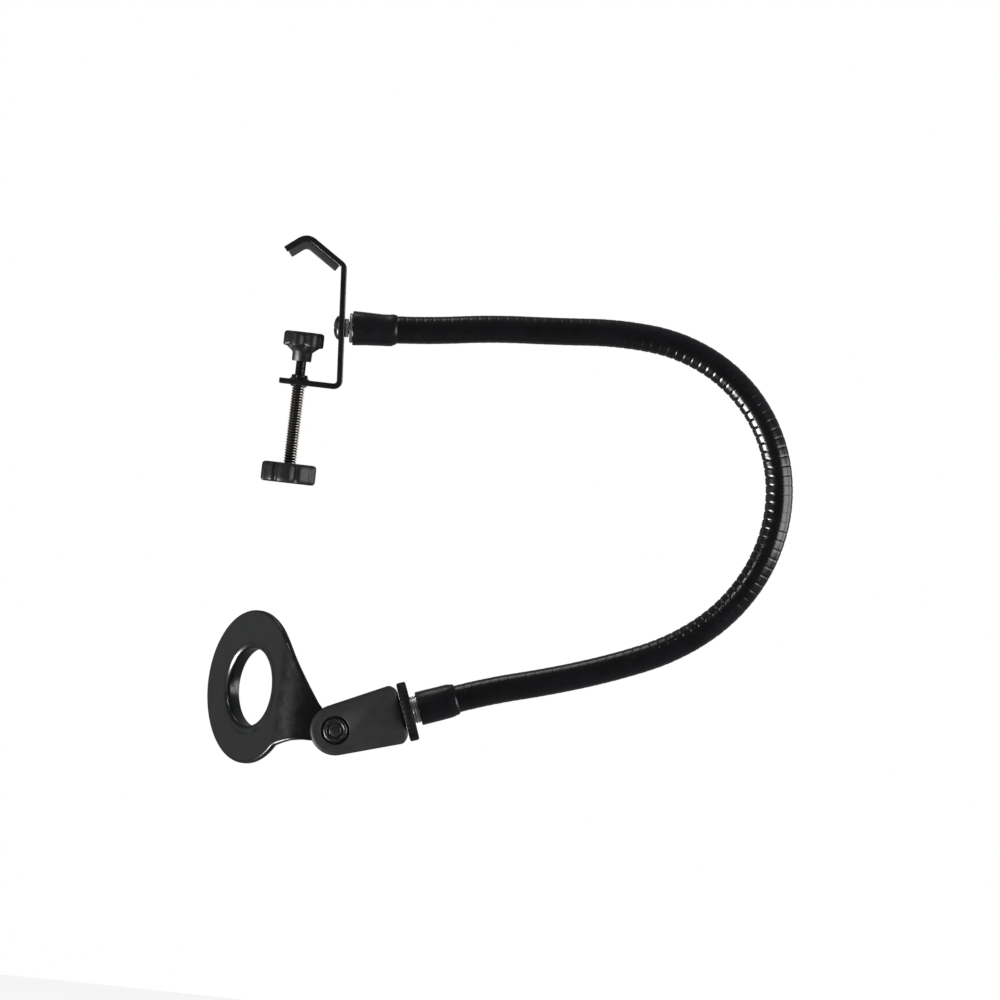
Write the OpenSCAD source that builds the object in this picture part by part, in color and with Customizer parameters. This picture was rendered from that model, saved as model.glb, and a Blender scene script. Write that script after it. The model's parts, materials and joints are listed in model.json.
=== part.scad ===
// Clamp-on gooseneck arm with a tilting ring holder, in millimetres.
// The clamp screw stands on the Z axis, and the origin is the top of the
// clamp's hooked jaw. The whole arm lies in the XZ plane.

/* [Clamp bracket] */
// Width of the flat bar
bar_w = 15; // [12:0.5:18]
// Thickness of the flat bar
bar_t = 2.8; // [2:0.1:3]
// Outer bend radius of the bar at the spine's ends
bar_bend_r = 4.4; // [3.5:0.1:5]
// Outer bend radius of the bar at the jaw's peak
peak_bend_r = 7.3; // [4:0.1:8]
// Mean slope of the two jaw arms below the horizontal
jaw_slope = 35.5; // [30:0.5:40]
// Tip of the jaw, which steepens the lip and eases the long slope
jaw_tip = 2.3; // [0:0.1:5]
// Sideways distance of the jaw's peak from the clamp screw
jaw_offset = 4.1; // [2:0.1:6]
// Length of the short lip of the jaw
lip_len = 14.1; // [11:0.1:15]
// Length of the long slope of the jaw
slope_len = 25.3; // [24:0.1:27]
// Lean of the spine away from the vertical
spine_lean = 4.4; // [3:0.1:6]
// Depth of the underside of the leg below the origin
leg_depth = 68; // [64:0.1:72]
// Length of the leg
leg_len = 31.8; // [30:0.1:33]
// Thickness of the rubber pad in the jaw
pad_t = 3.5; // [2:0.1:4]

/* [Clamp screw] */
// Outer diameter of the clamp thread
screw_d = 6.5; // [5:0.5:7]
// Height of the top of the threaded collar below the origin
collar_top = 62.8; // [62.5:0.1:64]
// Height of the pressure foot's face below the origin
foot_top = 41.3; // [38:0.1:44]
// Diameter of the pressure foot
foot_d = 20.2; // [18:0.2:22]
// Height of the lobed rim of the pressure foot
foot_rim_h = 6.6; // [5:0.1:8]
// Height of the hub under the rim
foot_hub_h = 7.6; // [6:0.1:9]
// Height of the hand knob's upper face below the origin
knob_top = 107.3; // [100:0.1:112]
// Diameter of the hand knob
knob_d = 27.4; // [24:0.2:30]
// Thickness of the hand knob
knob_h = 10; // [8:0.5:12]
// Number of lobes on the hand knob
knob_lobes = 8; // [6:1:8]
// Number of lobes on the pressure foot
foot_lobes = 6; // [5:1:6]

/* [Gooseneck] */
// Distance from the jaw's corner down the spine to the arm's axis
arm_drop = 31.6; // [27:0.1:33]
// Outer diameter of the covered neck
neck_d = 13.7; // [12:0.1:14.4]
// Wall of the neck's plastic cover
cover_t = 1.2; // [0.8:0.1:1.6]
// Length of neck that each link stands for
link_len = 31.87; // [31:0.01:33]
// Space that a bend needs between two links
link_gap = 3.2; // [3:0.1:3.6]
// Length from the spine to the start of the neck
socket_len = 26.4; // [25:0.1:28]

/* [Lower end] */
// Length of the lower sleeve
lower_sleeve_len = 19.8; // [18:0.1:22]
// Diameter of the threaded stud
stud_d = 14; // [13:0.5:14]
// Diameter of the lock ring
lock_d = 30; // [28:0.5:32]
// Thickness of the lock ring
lock_t = 4.7; // [4:0.1:5]
// Thread left showing between the sleeve and the lock ring
stud_show = 3.2; // [2:0.1:4]
// Distance from the end of the neck to the tilt bolt
bolt_reach = 62.7; // [61:0.1:65]
// Width of the clevis at the bolt
clevis_nose_w = 25.2; // [24:0.2:27]
// Width of the clevis at the lock ring
clevis_back_w = 29.8; // [29:0.2:31]
// Thickness of the clevis across both cheeks
clevis_t = 23; // [21:0.5:25]
// Width of the slot between the cheeks
slot_w = 8; // [7:0.5:9]
// Diameter of the tilt bolt
bolt_d = 5; // [4:0.5:6]

/* [Ring holder] */
// Outer diameter of the ring
ring_d = 77.2; // [74:0.2:80]
// Diameter of the hole that the held tool goes in
ring_hole_d = 39; // [36:0.5:40]
// Thickness of the ring
ring_t = 3; // [2.4:0.1:3.6]
// Depth of the throat behind the ring's face
throat_len = 7.5; // [6:0.5:9]
// Turn of the ring's face towards the front
ring_turn = 33.9; // [30:0.5:36]
// Distance of the ring's centre in front of the bolt, along X
ring_reach = 44.8; // [42:0.2:46]
// Height of the ring's centre above the bolt
ring_rise = 16.2; // [14:0.1:18]
// Distance of the ring's centre behind the tongue's plane
ring_set_back = 30; // [28:0.5:32]
// Thickness of the arm plate
plate_t = 4; // [3:0.1:5]

/* [Hidden] */
$fn = 48;
run_fit = 0.05;      // radial clearance of the running fits
inside_gap = 0.1;    // radial gap between nested pieces
past = 1;            // how far a cut runs past a face
thread_collar_r = 4.1;
neck_r = 2.5;        // plain neck of the clamp screw

// Bend of each link in degrees, positive where the neck curls downwards.
link_bend = [-4.5, 5, -1.5, 10, 22, 24, 24, 23.5, 21.5, 20.5, 16, 5, 3.5, -5.5];
links = len(link_bend);

// Jaw, spine and leg as the outer line of the bar, from lip to leg end.
pad_round = 3;
peak_z = (bar_t + pad_t) / cos(jaw_slope) + pad_round * (1 / cos(jaw_slope) - 1);
peak = [-jaw_offset, peak_z];
lip_end = peak + lip_len * [-cos(jaw_slope + jaw_tip), -sin(jaw_slope + jaw_tip)];
slope_end = peak + slope_len * [cos(jaw_slope - jaw_tip), -sin(jaw_slope - jaw_tip)];
spine_dir = [sin(spine_lean), -cos(spine_lean)];
spine_len = (leg_depth + slope_end[1]) / cos(spine_lean);
spine_end = slope_end + spine_len * spine_dir;
leg_end = spine_end - [leg_len, 0];
bar_line = [lip_end, peak, slope_end, spine_end, leg_end];
bar_radii = [0, peak_bend_r, bar_bend_r, bar_bend_r, 0];

// The arm leaves the spine square to it.
arm_foot = slope_end + arm_drop * spine_dir;
arm_heading = spine_lean;
neck_start = arm_foot + socket_len * [cos(arm_heading), sin(arm_heading)];
core_d = neck_d - 2 * cover_t;

// Heading and place of the start of link i, each from the link before it.
function heading(i) = i == 0 ? arm_heading : heading(i - 1) - link_bend[i - 1];
function chord(bend) = bend == 0 ? link_len : link_len * sin(bend / 2) / (bend / 2 * PI / 180);
function step(i) = let (h = heading(i) - link_bend[i] / 2)
    chord(link_bend[i]) * [cos(h), sin(h)];
function place(i) = i == 0 ? neck_start : place(i - 1) + step(i - 1);

neck_end = place(links);
end_heading = heading(links);
along_end = [cos(end_heading), sin(end_heading)];
bolt = neck_end + bolt_reach * along_end;
lock_at = lower_sleeve_len + stud_show;
clevis_at = lock_at + lock_t + 0.3;
stud_in = 14;        // length of stud inside the clevis
slot_floor = 11;     // depth of the slot behind the bolt
recess_r = 7.2;      // round recess for the bolt's ends
recess_h = 2.4;
hub_r = 9.5;         // eye of the ring holder between the cheeks
hub_t = slot_w - 0.6;

// Ring's centre, and the line where its face meets the tongue's plane.
ring_x = bolt[0] - ring_reach;
ring_z = bolt[1] + ring_rise;
bend_x = ring_x + ring_set_back * tan(ring_turn);

// ---- lines and bends of the bar ----

function unit(v) = v / norm(v);
function left_of(v) = [-v[1], v[0]];

// The open line moved sideways by d, to the right of its direction.
function beside(line, d) = [for (i = [0:len(line) - 1])
    let (a = unit(line[max(i, 1)] - line[max(i, 1) - 1]),
         b = unit(line[min(i + 1, len(line) - 1)] - line[min(i, len(line) - 2)]),
         n = -left_of(unit(a + b)))
    line[i] + n * d / (-left_of(a) * n)];

// The open line with corner i rounded to radius radii[i].
function rounded(line, radii, n = 6) = concat([line[0]],
    [for (i = [1:len(line) - 2])
        let (r = radii[i], a = unit(line[i] - line[i - 1]), b = unit(line[i + 1] - line[i]),
             half = acos(a * b) / 2, side = sign(a[0] * b[1] - a[1] * b[0]),
             tangent = r * tan(half), first = line[i] - a * tangent,
             middle = first + side * r * left_of(a),
             start = atan2(first[1] - middle[1], first[0] - middle[0]))
        for (k = [0:n]) middle + r * [cos(start + side * 2 * half * k / n),
                                      sin(start + side * 2 * half * k / n)]],
    [line[len(line) - 1]]);

function backwards(line) = [for (i = [len(line) - 1:-1:0]) line[i]];

// A strip between two open lines, upright in XZ and centred on Y.
module strip(outer, inner, width) {
    translate([0, width / 2, 0]) rotate([90, 0, 0])
        linear_extrude(width) polygon(concat(outer, backwards(inner)));
}

// ---- frames ----

module on_arm() {
    translate([arm_foot[0], 0, arm_foot[1]]) rotate([0, 90 - arm_heading, 0]) children();
}

module on_end(t = 0) {
    translate([neck_end[0], 0, neck_end[1]]) rotate([0, 90 - end_heading, 0])
        translate([0, 0, t]) children();
}

module tube(r_out, r_in, length) {
    difference() {
        cylinder(r = r_out, h = length);
        translate([0, 0, -past]) cylinder(r = r_in, h = length + 2 * past);
    }
}

// ---- clamp ----

module bracket() {
    color([0.10, 0.10, 0.11]) difference() {
        strip(rounded(bar_line, bar_radii),
              rounded(beside(bar_line, bar_t), [for (r = bar_radii) r - bar_t]), bar_w);
        translate([0, 0, -leg_depth - past]) cylinder(r = thread_collar_r, h = bar_t + 2 * past);
        on_arm() translate([0, 0, -bar_t - past])
            cylinder(d = screw_d + 2 * inside_gap, h = bar_t + 2 * past);
    }
}

module jaw_pad() {
    jaw = [lip_end, peak, slope_end];
    shortened = [lip_end + unit(peak - lip_end), peak, slope_end - 2.6 * unit(slope_end - peak)];
    color([0.16, 0.16, 0.17])
        strip(rounded(beside(shortened, bar_t), [0, peak_bend_r - bar_t, 0]),
              rounded(beside(shortened, bar_t + pad_t), [0, pad_round, 0]), bar_w);
}

module thread_collar() {
    height = leg_depth - collar_top + 0.8;
    color([0.12, 0.12, 0.13]) translate([0, 0, -leg_depth - 0.8]) difference() {
        union() {
            cylinder(r = thread_collar_r, h = height);
            translate([0, 0, bar_t + 0.8]) cylinder(r1 = thread_collar_r + 1, r2 = thread_collar_r, h = 1.2);
        }
        translate([0, 0, -past]) cylinder(d = screw_d + 2 * run_fit, h = height + 2 * past);
    }
}

module pivot_screw() {
    color([0.12, 0.12, 0.13]) on_arm() translate([0, 0, -bar_t]) {
        translate([0, 0, -2.6]) cylinder(r1 = 4.2, r2 = 6, h = 1.6);
        translate([0, 0, -1]) cylinder(r = 6, h = 1);
        cylinder(d = screw_d, h = bar_t + 14);
    }
}

module spacer_nut() {
    color([0.55, 0.55, 0.55]) on_arm() tube(4.7, screw_d / 2 + inside_gap, 2.2);
}

module lobed(d, lobes, flute_r, flute_out) {
    difference() {
        circle(d = d);
        for (i = [0:lobes - 1]) rotate(360 / lobes * (i + 0.5))
            translate([d / 2 + flute_out, 0]) circle(r = flute_r);
    }
}

module pressure_foot() {
    hub_top = foot_hub_h - 2.4;
    color([0.14, 0.14, 0.15]) translate([0, 0, -foot_top - foot_rim_h - foot_hub_h]) difference() {
        union() {
            cylinder(r1 = 4.9, r2 = 5.6, h = hub_top);
            translate([0, 0, hub_top]) cylinder(r1 = 5.6, r2 = 7.6, h = 2.4);
            translate([0, 0, foot_hub_h]) linear_extrude(foot_rim_h)
                lobed(foot_d, foot_lobes, 3.6, 2.2);
        }
        translate([0, 0, -past]) cylinder(r = neck_r + run_fit, h = 6 + past);
    }
}

module clamp_screw() {
    foot_bottom = foot_top + foot_rim_h + foot_hub_h;
    thread_end = collar_top + 0.7;
    color([0.32, 0.29, 0.28]) {
        translate([0, 0, -knob_top - 8]) cylinder(d = screw_d, h = knob_top + 8 - thread_end);
        translate([0, 0, -thread_end]) cylinder(r = neck_r, h = thread_end - foot_bottom + 5.5);
    }
}

module hand_knob() {
    color([0.14, 0.14, 0.15]) translate([0, 0, -knob_top - knob_h]) difference() {
        linear_extrude(knob_h) lobed(knob_d, knob_lobes, 4.4, 3);
        translate([0, 0, knob_h - 8]) cylinder(d = screw_d, h = 8 + past);
    }
}

// ---- gooseneck ----

module neck_socket() {
    color([0.78, 0.78, 0.78]) on_arm() difference() {
        union() {
            translate([0, 0, 2.5]) cylinder(r = 7.4, h = 1.5);
            translate([0, 0, 4]) cylinder(r = 6.4, h = socket_len - 4);
        }
        translate([0, 0, 2.5 - past]) cylinder(r = screw_d / 2 + run_fit, h = 14 + past);
    }
}

// Half section of the upper sleeve, as radius and distance along the arm.
upper_outline = [[6.5, 4], [8.4, 4], [8.15, 10.5], [7.9, 15.5], [7.5, 20.5], [7.7, 24],
                 [7.4, 25.6], [6.8, socket_len], [6.5, socket_len]];

module upper_sleeve() {
    color([0.08, 0.08, 0.09]) on_arm() rotate_extrude() polygon(upper_outline);
}

// Link i of the neck between its two gaps, as a tube of the given radii.
module link(i, r_out, r_in) {
    bend = abs(link_bend[i]);
    first = i == 0 ? 0 : link_gap / 2;
    last = i == links - 1 ? 0 : link_gap / 2;
    translate([place(i)[0], 0, place(i)[1]]) rotate([0, -heading(i), 0])
        if (bend == 0) {
            rotate([0, 90, 0]) translate([0, 0, first]) tube(r_out, r_in, link_len - first - last);
        } else {
            bend_r = link_len / (bend * PI / 180);
            per_mm = bend / link_len;
            mirror([0, 0, link_bend[i] < 0 ? 1 : 0])
                translate([0, 0, -bend_r]) rotate([0, bend - last * per_mm - 90, 0]) rotate([90, 0, 0])
                    rotate_extrude(angle = bend - (first + last) * per_mm)
                        translate([bend_r, 0]) difference() {
                            circle(r = r_out);
                            circle(r = r_in);
                        }
        }
}

module neck_cover(i) {
    color([0.05, 0.05, 0.06]) link(i, neck_d / 2, core_d / 2 + inside_gap);
}

module neck_coil(i) {
    color([0.45, 0.45, 0.47]) link(i, core_d / 2, core_d / 2 - 2.4);
}

module lower_sleeve() {
    color([0.08, 0.08, 0.09]) on_end() rotate_extrude()
        polygon([[stud_d / 2 + inside_gap, 0], [7.7, 0], [8.1, 3], [8.3, lower_sleeve_len],
                 [stud_d / 2 + inside_gap, lower_sleeve_len]]);
}

module threaded_stud() {
    color([0.70, 0.69, 0.68]) on_end() cylinder(d = stud_d, h = clevis_at + stud_in);
}

module lock_ring() {
    color([0.13, 0.13, 0.14]) on_end(lock_at)
        tube(lock_d / 2, stud_d / 2 + run_fit, lock_t);
}

// ---- clevis and ring holder ----

// Side outline of the clevis, with X along the end's axis from the bolt back to the lock ring.
module clevis_outline() {
    back = bolt_reach - clevis_at;
    taper = asin((clevis_back_w - clevis_nose_w) / 2 / back);
    half = clevis_back_w / 2;
    corner = 3;
    polygon(concat(
        [for (k = [0:24]) let (a = 90 + taper + k * (180 - 2 * taper) / 24)
            clevis_nose_w / 2 * [cos(a), sin(a)]],
        [[back - corner, -half], [back, corner - half],
         [back, half - corner], [back - corner, half]]));
}

module at_bolt() {
    translate([bolt[0], 0, bolt[1]]) rotate([0, -end_heading - 180, 0]) children();
}

module clevis() {
    back = bolt_reach - clevis_at;
    color([0.22, 0.22, 0.24]) at_bolt() difference() {
        translate([0, clevis_t / 2, 0]) rotate([90, 0, 0]) linear_extrude(clevis_t) clevis_outline();
        translate([-clevis_nose_w, -slot_w / 2, -clevis_back_w])
            cube([clevis_nose_w + slot_floor, slot_w, 2 * clevis_back_w]);
        translate([0, clevis_t / 2 + past, 0]) rotate([90, 0, 0])
            cylinder(d = bolt_d + 2 * inside_gap, h = clevis_t + 2 * past);
        for (side = [-1, 1]) translate([0, side * (clevis_t / 2 + past), 0])
            rotate([side * 90, 0, 0]) cylinder(r = recess_r, h = recess_h + past);
        translate([back - stud_in - 1, 0, 0]) rotate([0, 90, 0])
            cylinder(r = stud_d / 2 + run_fit, h = stud_in + 1 + past);
    }
}

module tilt_bolt() {
    seat = clevis_t / 2 - recess_h;
    color([0.18, 0.18, 0.19]) at_bolt() {
        translate([0, clevis_t / 2 - 0.1, 0]) rotate([90, 0, 0]) cylinder(d = bolt_d, h = clevis_t - 0.2);
        translate([0, seat + 2.2, 0]) rotate([90, 0, 0]) cylinder(r = 6.2, h = 2.2);
    }
}

module bolt_nut() {
    seat = clevis_t / 2 - recess_h;
    color([0.20, 0.20, 0.21]) at_bolt() translate([0, -seat, 0]) rotate([90, 0, 0])
        tube(6.2, bolt_d / 2 + inside_gap, 2.2);
}

// Side outline of the arm plate, from the ring's bend line to the eye at the bolt.
module plate_outline() {
    tall = bend_x + 1.2;
    polygon([[tall, bolt[1] + 32], [tall + 3.5, bolt[1] + 27.5],
             [bolt[0] - 6, bolt[1] + 7.4], [bolt[0], bolt[1] + hub_r],
             [bolt[0], bolt[1] - hub_r], [bolt[0] - 12, bolt[1] - 6.6],
             [bolt[0] - 21, bolt[1] - 8.2], [tall, bolt[1] - 9.6]]);
    translate(bolt) circle(r = hub_r);
}

module ring_holder() {
    face_r = ring_hole_d / 2 + 3;
    color([0.12, 0.15, 0.16]) difference() {
        union() {
            translate([ring_x, ring_set_back, ring_z]) rotate([0, 0, ring_turn]) rotate([0, 90, 0]) {
                translate([0, 0, -ring_t / 2]) cylinder(d = ring_d, h = ring_t, $fn = 96);
                translate([0, 0, -ring_t / 2]) cylinder(r = face_r, h = throat_len);
            }
            translate([0, plate_t / 2, 0]) rotate([90, 0, 0]) linear_extrude(plate_t) plate_outline();
            translate([bolt[0], hub_t / 2, bolt[1]]) rotate([90, 0, 0]) cylinder(r = hub_r, h = hub_t);
        }
        translate([ring_x, ring_set_back, ring_z]) rotate([0, 0, ring_turn]) rotate([0, 90, 0]) {
            translate([0, 0, -throat_len]) cylinder(d = ring_hole_d, h = 3 * throat_len);
            translate([0, 0, -ring_t / 2]) cylinder(r1 = face_r - 0.6, r2 = ring_hole_d / 2, h = 2.2);
        }
        translate([bolt[0], hub_t, bolt[1]]) rotate([90, 0, 0])
            cylinder(d = bolt_d + 2 * run_fit, h = 2 * hub_t);
    }
}

bracket();
jaw_pad();
thread_collar();
pivot_screw();
spacer_nut();
pressure_foot();
clamp_screw();
hand_knob();
neck_socket();
upper_sleeve();
for (i = [1:links]) neck_cover(i - 1);
for (i = [1:links]) neck_coil(i - 1);
lower_sleeve();
threaded_stud();
lock_ring();
clevis();
tilt_bolt();
bolt_nut();
ring_holder();
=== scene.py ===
"""A clamp-on gooseneck arm with a tilting ring holder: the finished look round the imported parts."""

import json
import logging
import math
from dataclasses import dataclass, field
from enum import Enum
from typing import Callable, Iterable, Sequence

import bmesh
import bpy
from mathutils import Matrix, Vector


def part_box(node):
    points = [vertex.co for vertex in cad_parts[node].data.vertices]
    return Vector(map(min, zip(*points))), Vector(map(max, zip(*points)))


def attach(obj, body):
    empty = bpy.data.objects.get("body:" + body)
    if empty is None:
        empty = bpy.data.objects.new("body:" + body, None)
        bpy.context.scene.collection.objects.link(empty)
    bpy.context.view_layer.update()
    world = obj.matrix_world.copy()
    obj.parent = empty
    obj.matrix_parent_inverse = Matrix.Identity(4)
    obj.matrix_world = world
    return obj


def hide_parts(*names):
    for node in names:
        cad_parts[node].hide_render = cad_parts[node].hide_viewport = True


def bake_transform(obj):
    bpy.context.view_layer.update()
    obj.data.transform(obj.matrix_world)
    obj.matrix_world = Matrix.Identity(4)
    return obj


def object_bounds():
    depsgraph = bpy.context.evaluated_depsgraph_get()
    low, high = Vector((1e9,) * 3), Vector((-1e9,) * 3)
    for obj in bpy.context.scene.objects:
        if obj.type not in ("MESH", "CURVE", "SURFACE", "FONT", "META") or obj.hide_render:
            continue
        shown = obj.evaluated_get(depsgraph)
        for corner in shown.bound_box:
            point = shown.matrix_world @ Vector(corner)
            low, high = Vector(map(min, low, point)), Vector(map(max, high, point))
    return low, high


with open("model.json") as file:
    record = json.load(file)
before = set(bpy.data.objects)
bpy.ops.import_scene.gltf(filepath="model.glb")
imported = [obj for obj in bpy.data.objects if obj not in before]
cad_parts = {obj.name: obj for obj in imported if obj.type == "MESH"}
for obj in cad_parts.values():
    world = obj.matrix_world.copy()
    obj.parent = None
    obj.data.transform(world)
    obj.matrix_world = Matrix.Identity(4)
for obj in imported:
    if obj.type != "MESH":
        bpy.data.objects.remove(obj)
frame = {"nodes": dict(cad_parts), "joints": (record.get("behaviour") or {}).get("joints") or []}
CAD_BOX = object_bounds()

log = logging.getLogger("gooseneck_holder")

MM = 0.001  # shapes are drawn in millimetres and scaled to metres when their mesh is made
WELD = 1e-4
UP = Vector((0, 0, 1))
ACROSS = Vector((0, 1, 0))
Point = tuple[float, float]
Colour = tuple[float, float, float]


class Body(str, Enum):
    """The moving bodies that pieces ride on."""

    FRAME = "clamp_frame"
    FOOT = "foot"
    SCREW = "screw"
    ARM_START = "neck_1"
    ARM_END = "neck_14"
    LOCK = "lock"
    CLEVIS = "clevis"
    HOLDER = "holder"


# ---------------------------------------------------------------- finishes


class NodeBoard:
    """A material's node tree, with short calls for the nodes that the finishes share."""

    def __init__(self, name: str) -> None:
        """Start an empty material.

        Args:
            name: the material's name.
        """
        self.material = bpy.data.materials.new(name)
        self.material.use_nodes = True
        self.tree = self.material.node_tree
        self.shader = self.tree.nodes["Principled BSDF"]
        self.coords = self.tree.nodes.new("ShaderNodeTexCoord")

    def join(self, source: bpy.types.NodeSocket, target: bpy.types.NodeSocket) -> None:
        """Link one socket to another."""
        self.tree.links.new(source, target)

    def mapped(self, scale: Sequence[float]) -> bpy.types.NodeSocket:
        """Object coordinates stretched by a scale for each axis.

        Args:
            scale: the scale along each axis.

        Returns:
            The coordinates.
        """
        node = self.tree.nodes.new("ShaderNodeMapping")
        node.inputs["Scale"].default_value = scale
        self.join(self.coords.outputs["Object"], node.inputs["Vector"])
        return node.outputs["Vector"]

    def noise(self, per_metre: float, detail: float = 3, stretch: Sequence[float] = (1, 1, 1),
              rough: float = 0.55) -> bpy.types.NodeSocket:
        """A noise pattern.

        Args:
            per_metre: features in a metre.
            detail: octaves of finer noise.
            stretch: scale along each axis.
            rough: weight of the finer octaves.

        Returns:
            The noise value's socket, about 0.3 to 0.7.
        """
        node = self.tree.nodes.new("ShaderNodeTexNoise")
        node.inputs["Scale"].default_value = per_metre
        node.inputs["Detail"].default_value = detail
        node.inputs["Roughness"].default_value = rough
        self.join(self.mapped(stretch), node.inputs["Vector"])
        return node.outputs["Fac"]

    def attribute(self, name: str) -> bpy.types.NodeSocket:
        """A number that the mesh carries at each vertex.

        Args:
            name: the attribute's name.

        Returns:
            The number.
        """
        node = self.tree.nodes.new("ShaderNodeAttribute")
        node.attribute_name = name
        return node.outputs["Fac"]

    def ranged(self, value: bpy.types.NodeSocket, low: float, high: float, to_low: float,
               to_high: float) -> bpy.types.NodeSocket:
        """The value moved from one range to another, and held within it.

        Args:
            value: the value to move.
            low: its value that becomes to_low.
            high: its value that becomes to_high.
            to_low: the lowest result.
            to_high: the highest result.

        Returns:
            The moved value.
        """
        node = self.tree.nodes.new("ShaderNodeMapRange")
        for name, number in (("From Min", low), ("From Max", high), ("To Min", to_low), ("To Max", to_high)):
            node.inputs[name].default_value = number
        self.join(value, node.inputs["Value"])
        return node.outputs["Result"]

    def blended(self, share: bpy.types.NodeSocket, first: Colour, second: Colour) -> bpy.types.NodeSocket:
        """A colour between two, by share.

        Args:
            share: 0 for the first colour, 1 for the second.
            first: the first colour.
            second: the second colour.

        Returns:
            The colour.
        """
        node = self.tree.nodes.new("ShaderNodeMix")
        node.data_type = "RGBA"
        node.inputs["A"].default_value = (*first, 1)
        node.inputs["B"].default_value = (*second, 1)
        self.join(share, node.inputs["Factor"])
        return node.outputs["Result"]

    def total(self, first: bpy.types.NodeSocket, second: bpy.types.NodeSocket,
              weight: float) -> bpy.types.NodeSocket:
        """first plus weight times second.

        Args:
            first: the value that is added whole.
            second: the value that is weighted.
            weight: its weight.

        Returns:
            The sum.
        """
        node = self.tree.nodes.new("ShaderNodeMath")
        node.operation = "MULTIPLY_ADD"
        self.join(second, node.inputs[0])
        node.inputs[1].default_value = weight
        self.join(first, node.inputs[2])
        return node.outputs["Value"]

    def bump(self, height: bpy.types.NodeSocket, depth: float, strength: float = 1) -> None:
        """Dent the surface's normals by a height pattern.

        Args:
            height: the pattern.
            depth: how deep a height of 1 stands, in metres.
            strength: how much of the bump is used.
        """
        node = self.tree.nodes.new("ShaderNodeBump")
        node.inputs["Distance"].default_value = depth
        node.inputs["Strength"].default_value = strength
        self.join(height, node.inputs["Height"])
        self.join(node.outputs["Normal"], self.shader.inputs["Normal"])


@dataclass(frozen=True)
class Finish:
    """A finish with mottled colour, uneven gloss and a fine grain.

    Attributes:
        slot: the record's material slot.
        dark: the darker colour.
        light: the lighter colour.
        gloss: lowest and highest roughness.
        grain: grains in a metre.
        grain_depth: how deep the grain is, in metres.
        metallic: 1 for bare metal.
        specular: strength of the mirror part of a plastic.
        patches: patches of colour in a metre.
        shade: tells apart the finishes of one slot.
    """

    slot: str
    dark: Colour
    light: Colour
    gloss: Point
    grain: float = 2500
    grain_depth: float = 0.01 * MM
    metallic: float = 0
    specular: float = 0.5
    patches: float = 60
    shade: str = "finish"

    @property
    def name(self) -> str:
        """The material's name: its slot and its shade."""
        return f"{self.slot}_{self.shade}"

    def material(self) -> bpy.types.Material:
        """The finish's material, made once."""
        made = bpy.data.materials.get(self.name)
        return made or self.build()

    def build(self) -> bpy.types.Material:
        """Make the material from the shared pattern, then the finish's own detail.

        Returns:
            The new material.
        """
        board = NodeBoard(self.name)
        board.shader.inputs["Metallic"].default_value = self.metallic
        board.shader.inputs["Specular IOR Level"].default_value = self.specular
        cloud = board.noise(self.patches, 4)
        board.join(board.blended(board.ranged(cloud, 0.35, 0.65, 0, 1), self.dark, self.light),
                   board.shader.inputs["Base Color"])
        smear = board.noise(self.patches * 3.1, 5, rough=0.7)
        board.join(board.ranged(smear, 0.3, 0.7, *self.gloss), board.shader.inputs["Roughness"])
        board.bump(board.noise(self.grain, 2), self.grain_depth)
        self.detail(board)
        return board.material

    def detail(self, board: NodeBoard) -> None:
        """Add what only this kind of finish has; the plain finish adds nothing."""


@dataclass(frozen=True)
class SatinPaint(Finish):
    """Powder coat: a fine orange peel under a coarser wave, with pale scuffs.

    Attributes:
        scuff: colour of the scuffs.
    """

    scuff: Colour = (0.10, 0.10, 0.10)

    def detail(self, board: NodeBoard) -> None:
        """Lay scuffs over the colour, and a slow wave under the peel.

        Args:
            board: the material's nodes.
        """
        marks = board.ranged(board.noise(420, 6, rough=0.8), 0.66, 0.74, 0, 0.5)
        cloud = board.ranged(board.noise(self.patches, 4), 0.35, 0.65, 0, 1)
        base = board.blended(cloud, self.dark, self.light)
        mix = board.tree.nodes.new("ShaderNodeMix")
        mix.data_type = "RGBA"
        board.join(marks, mix.inputs["Factor"])
        board.join(base, mix.inputs["A"])
        mix.inputs["B"].default_value = (*self.scuff, 1)
        board.join(mix.outputs["Result"], board.shader.inputs["Base Color"])
        board.bump(board.total(board.noise(self.grain, 2), board.noise(500, 2), 0.8), self.grain_depth)


@dataclass(frozen=True)
class WornThreadShadedRoots(Finish):
    """Blackened steel, dark in the thread's roots as painted shade and rubbed bright on the crests, by a
    number the mesh carries from roots to crests.
    """

    bright: Colour = (0.34, 0.31, 0.29)

    def detail(self, board: NodeBoard) -> None:
        """Paint shade dark in the roots and show bright rubbed crests, with uneven edges.

        Args:
            board: the material's nodes.
        """
        # low values give the dark painted shade of the roots, high values the rubbed bright crests
        wear_and_root_shade = board.total(board.attribute("wear_and_root_shade"), board.noise(900, 4, rough=0.7), 0.9)
        board.join(board.blended(board.ranged(wear_and_root_shade, 1.12, 1.45, 0, 1), self.dark, self.bright),
                   board.shader.inputs["Base Color"])
        board.join(board.ranged(wear_and_root_shade, 0.8, 1.4, self.gloss[1], self.gloss[0]),
                   board.shader.inputs["Roughness"])


@dataclass(frozen=True)
class StretchedVinyl(Finish):
    """Glossy vinyl with a clear top film and slow waves where it is stretched.

    Attributes:
        waves: waves in a metre.
        wave_depth: depth of the waves, in metres.
        coat: strength of the top film.
    """

    waves: float = 130
    wave_depth: float = 0.04 * MM
    coat: float = 0.25

    def detail(self, board: NodeBoard) -> None:
        """Add the top film and the waves.

        Args:
            board: the material's nodes.
        """
        board.shader.inputs["Coat Weight"].default_value = self.coat
        board.shader.inputs["Coat Roughness"].default_value = 0.12
        grain = board.total(board.noise(self.waves, 3), board.noise(self.grain, 2),
                            self.grain_depth / self.wave_depth)
        board.bump(grain, self.wave_depth)


@dataclass(frozen=True)
class TurnedMetal(Finish):
    """Plated or wound steel with fine uneven marks."""

    def detail(self, board: NodeBoard) -> None:
        """Dent the surface with the marks."""
        board.bump(board.noise(1500, 3), 0.012 * MM)


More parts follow.
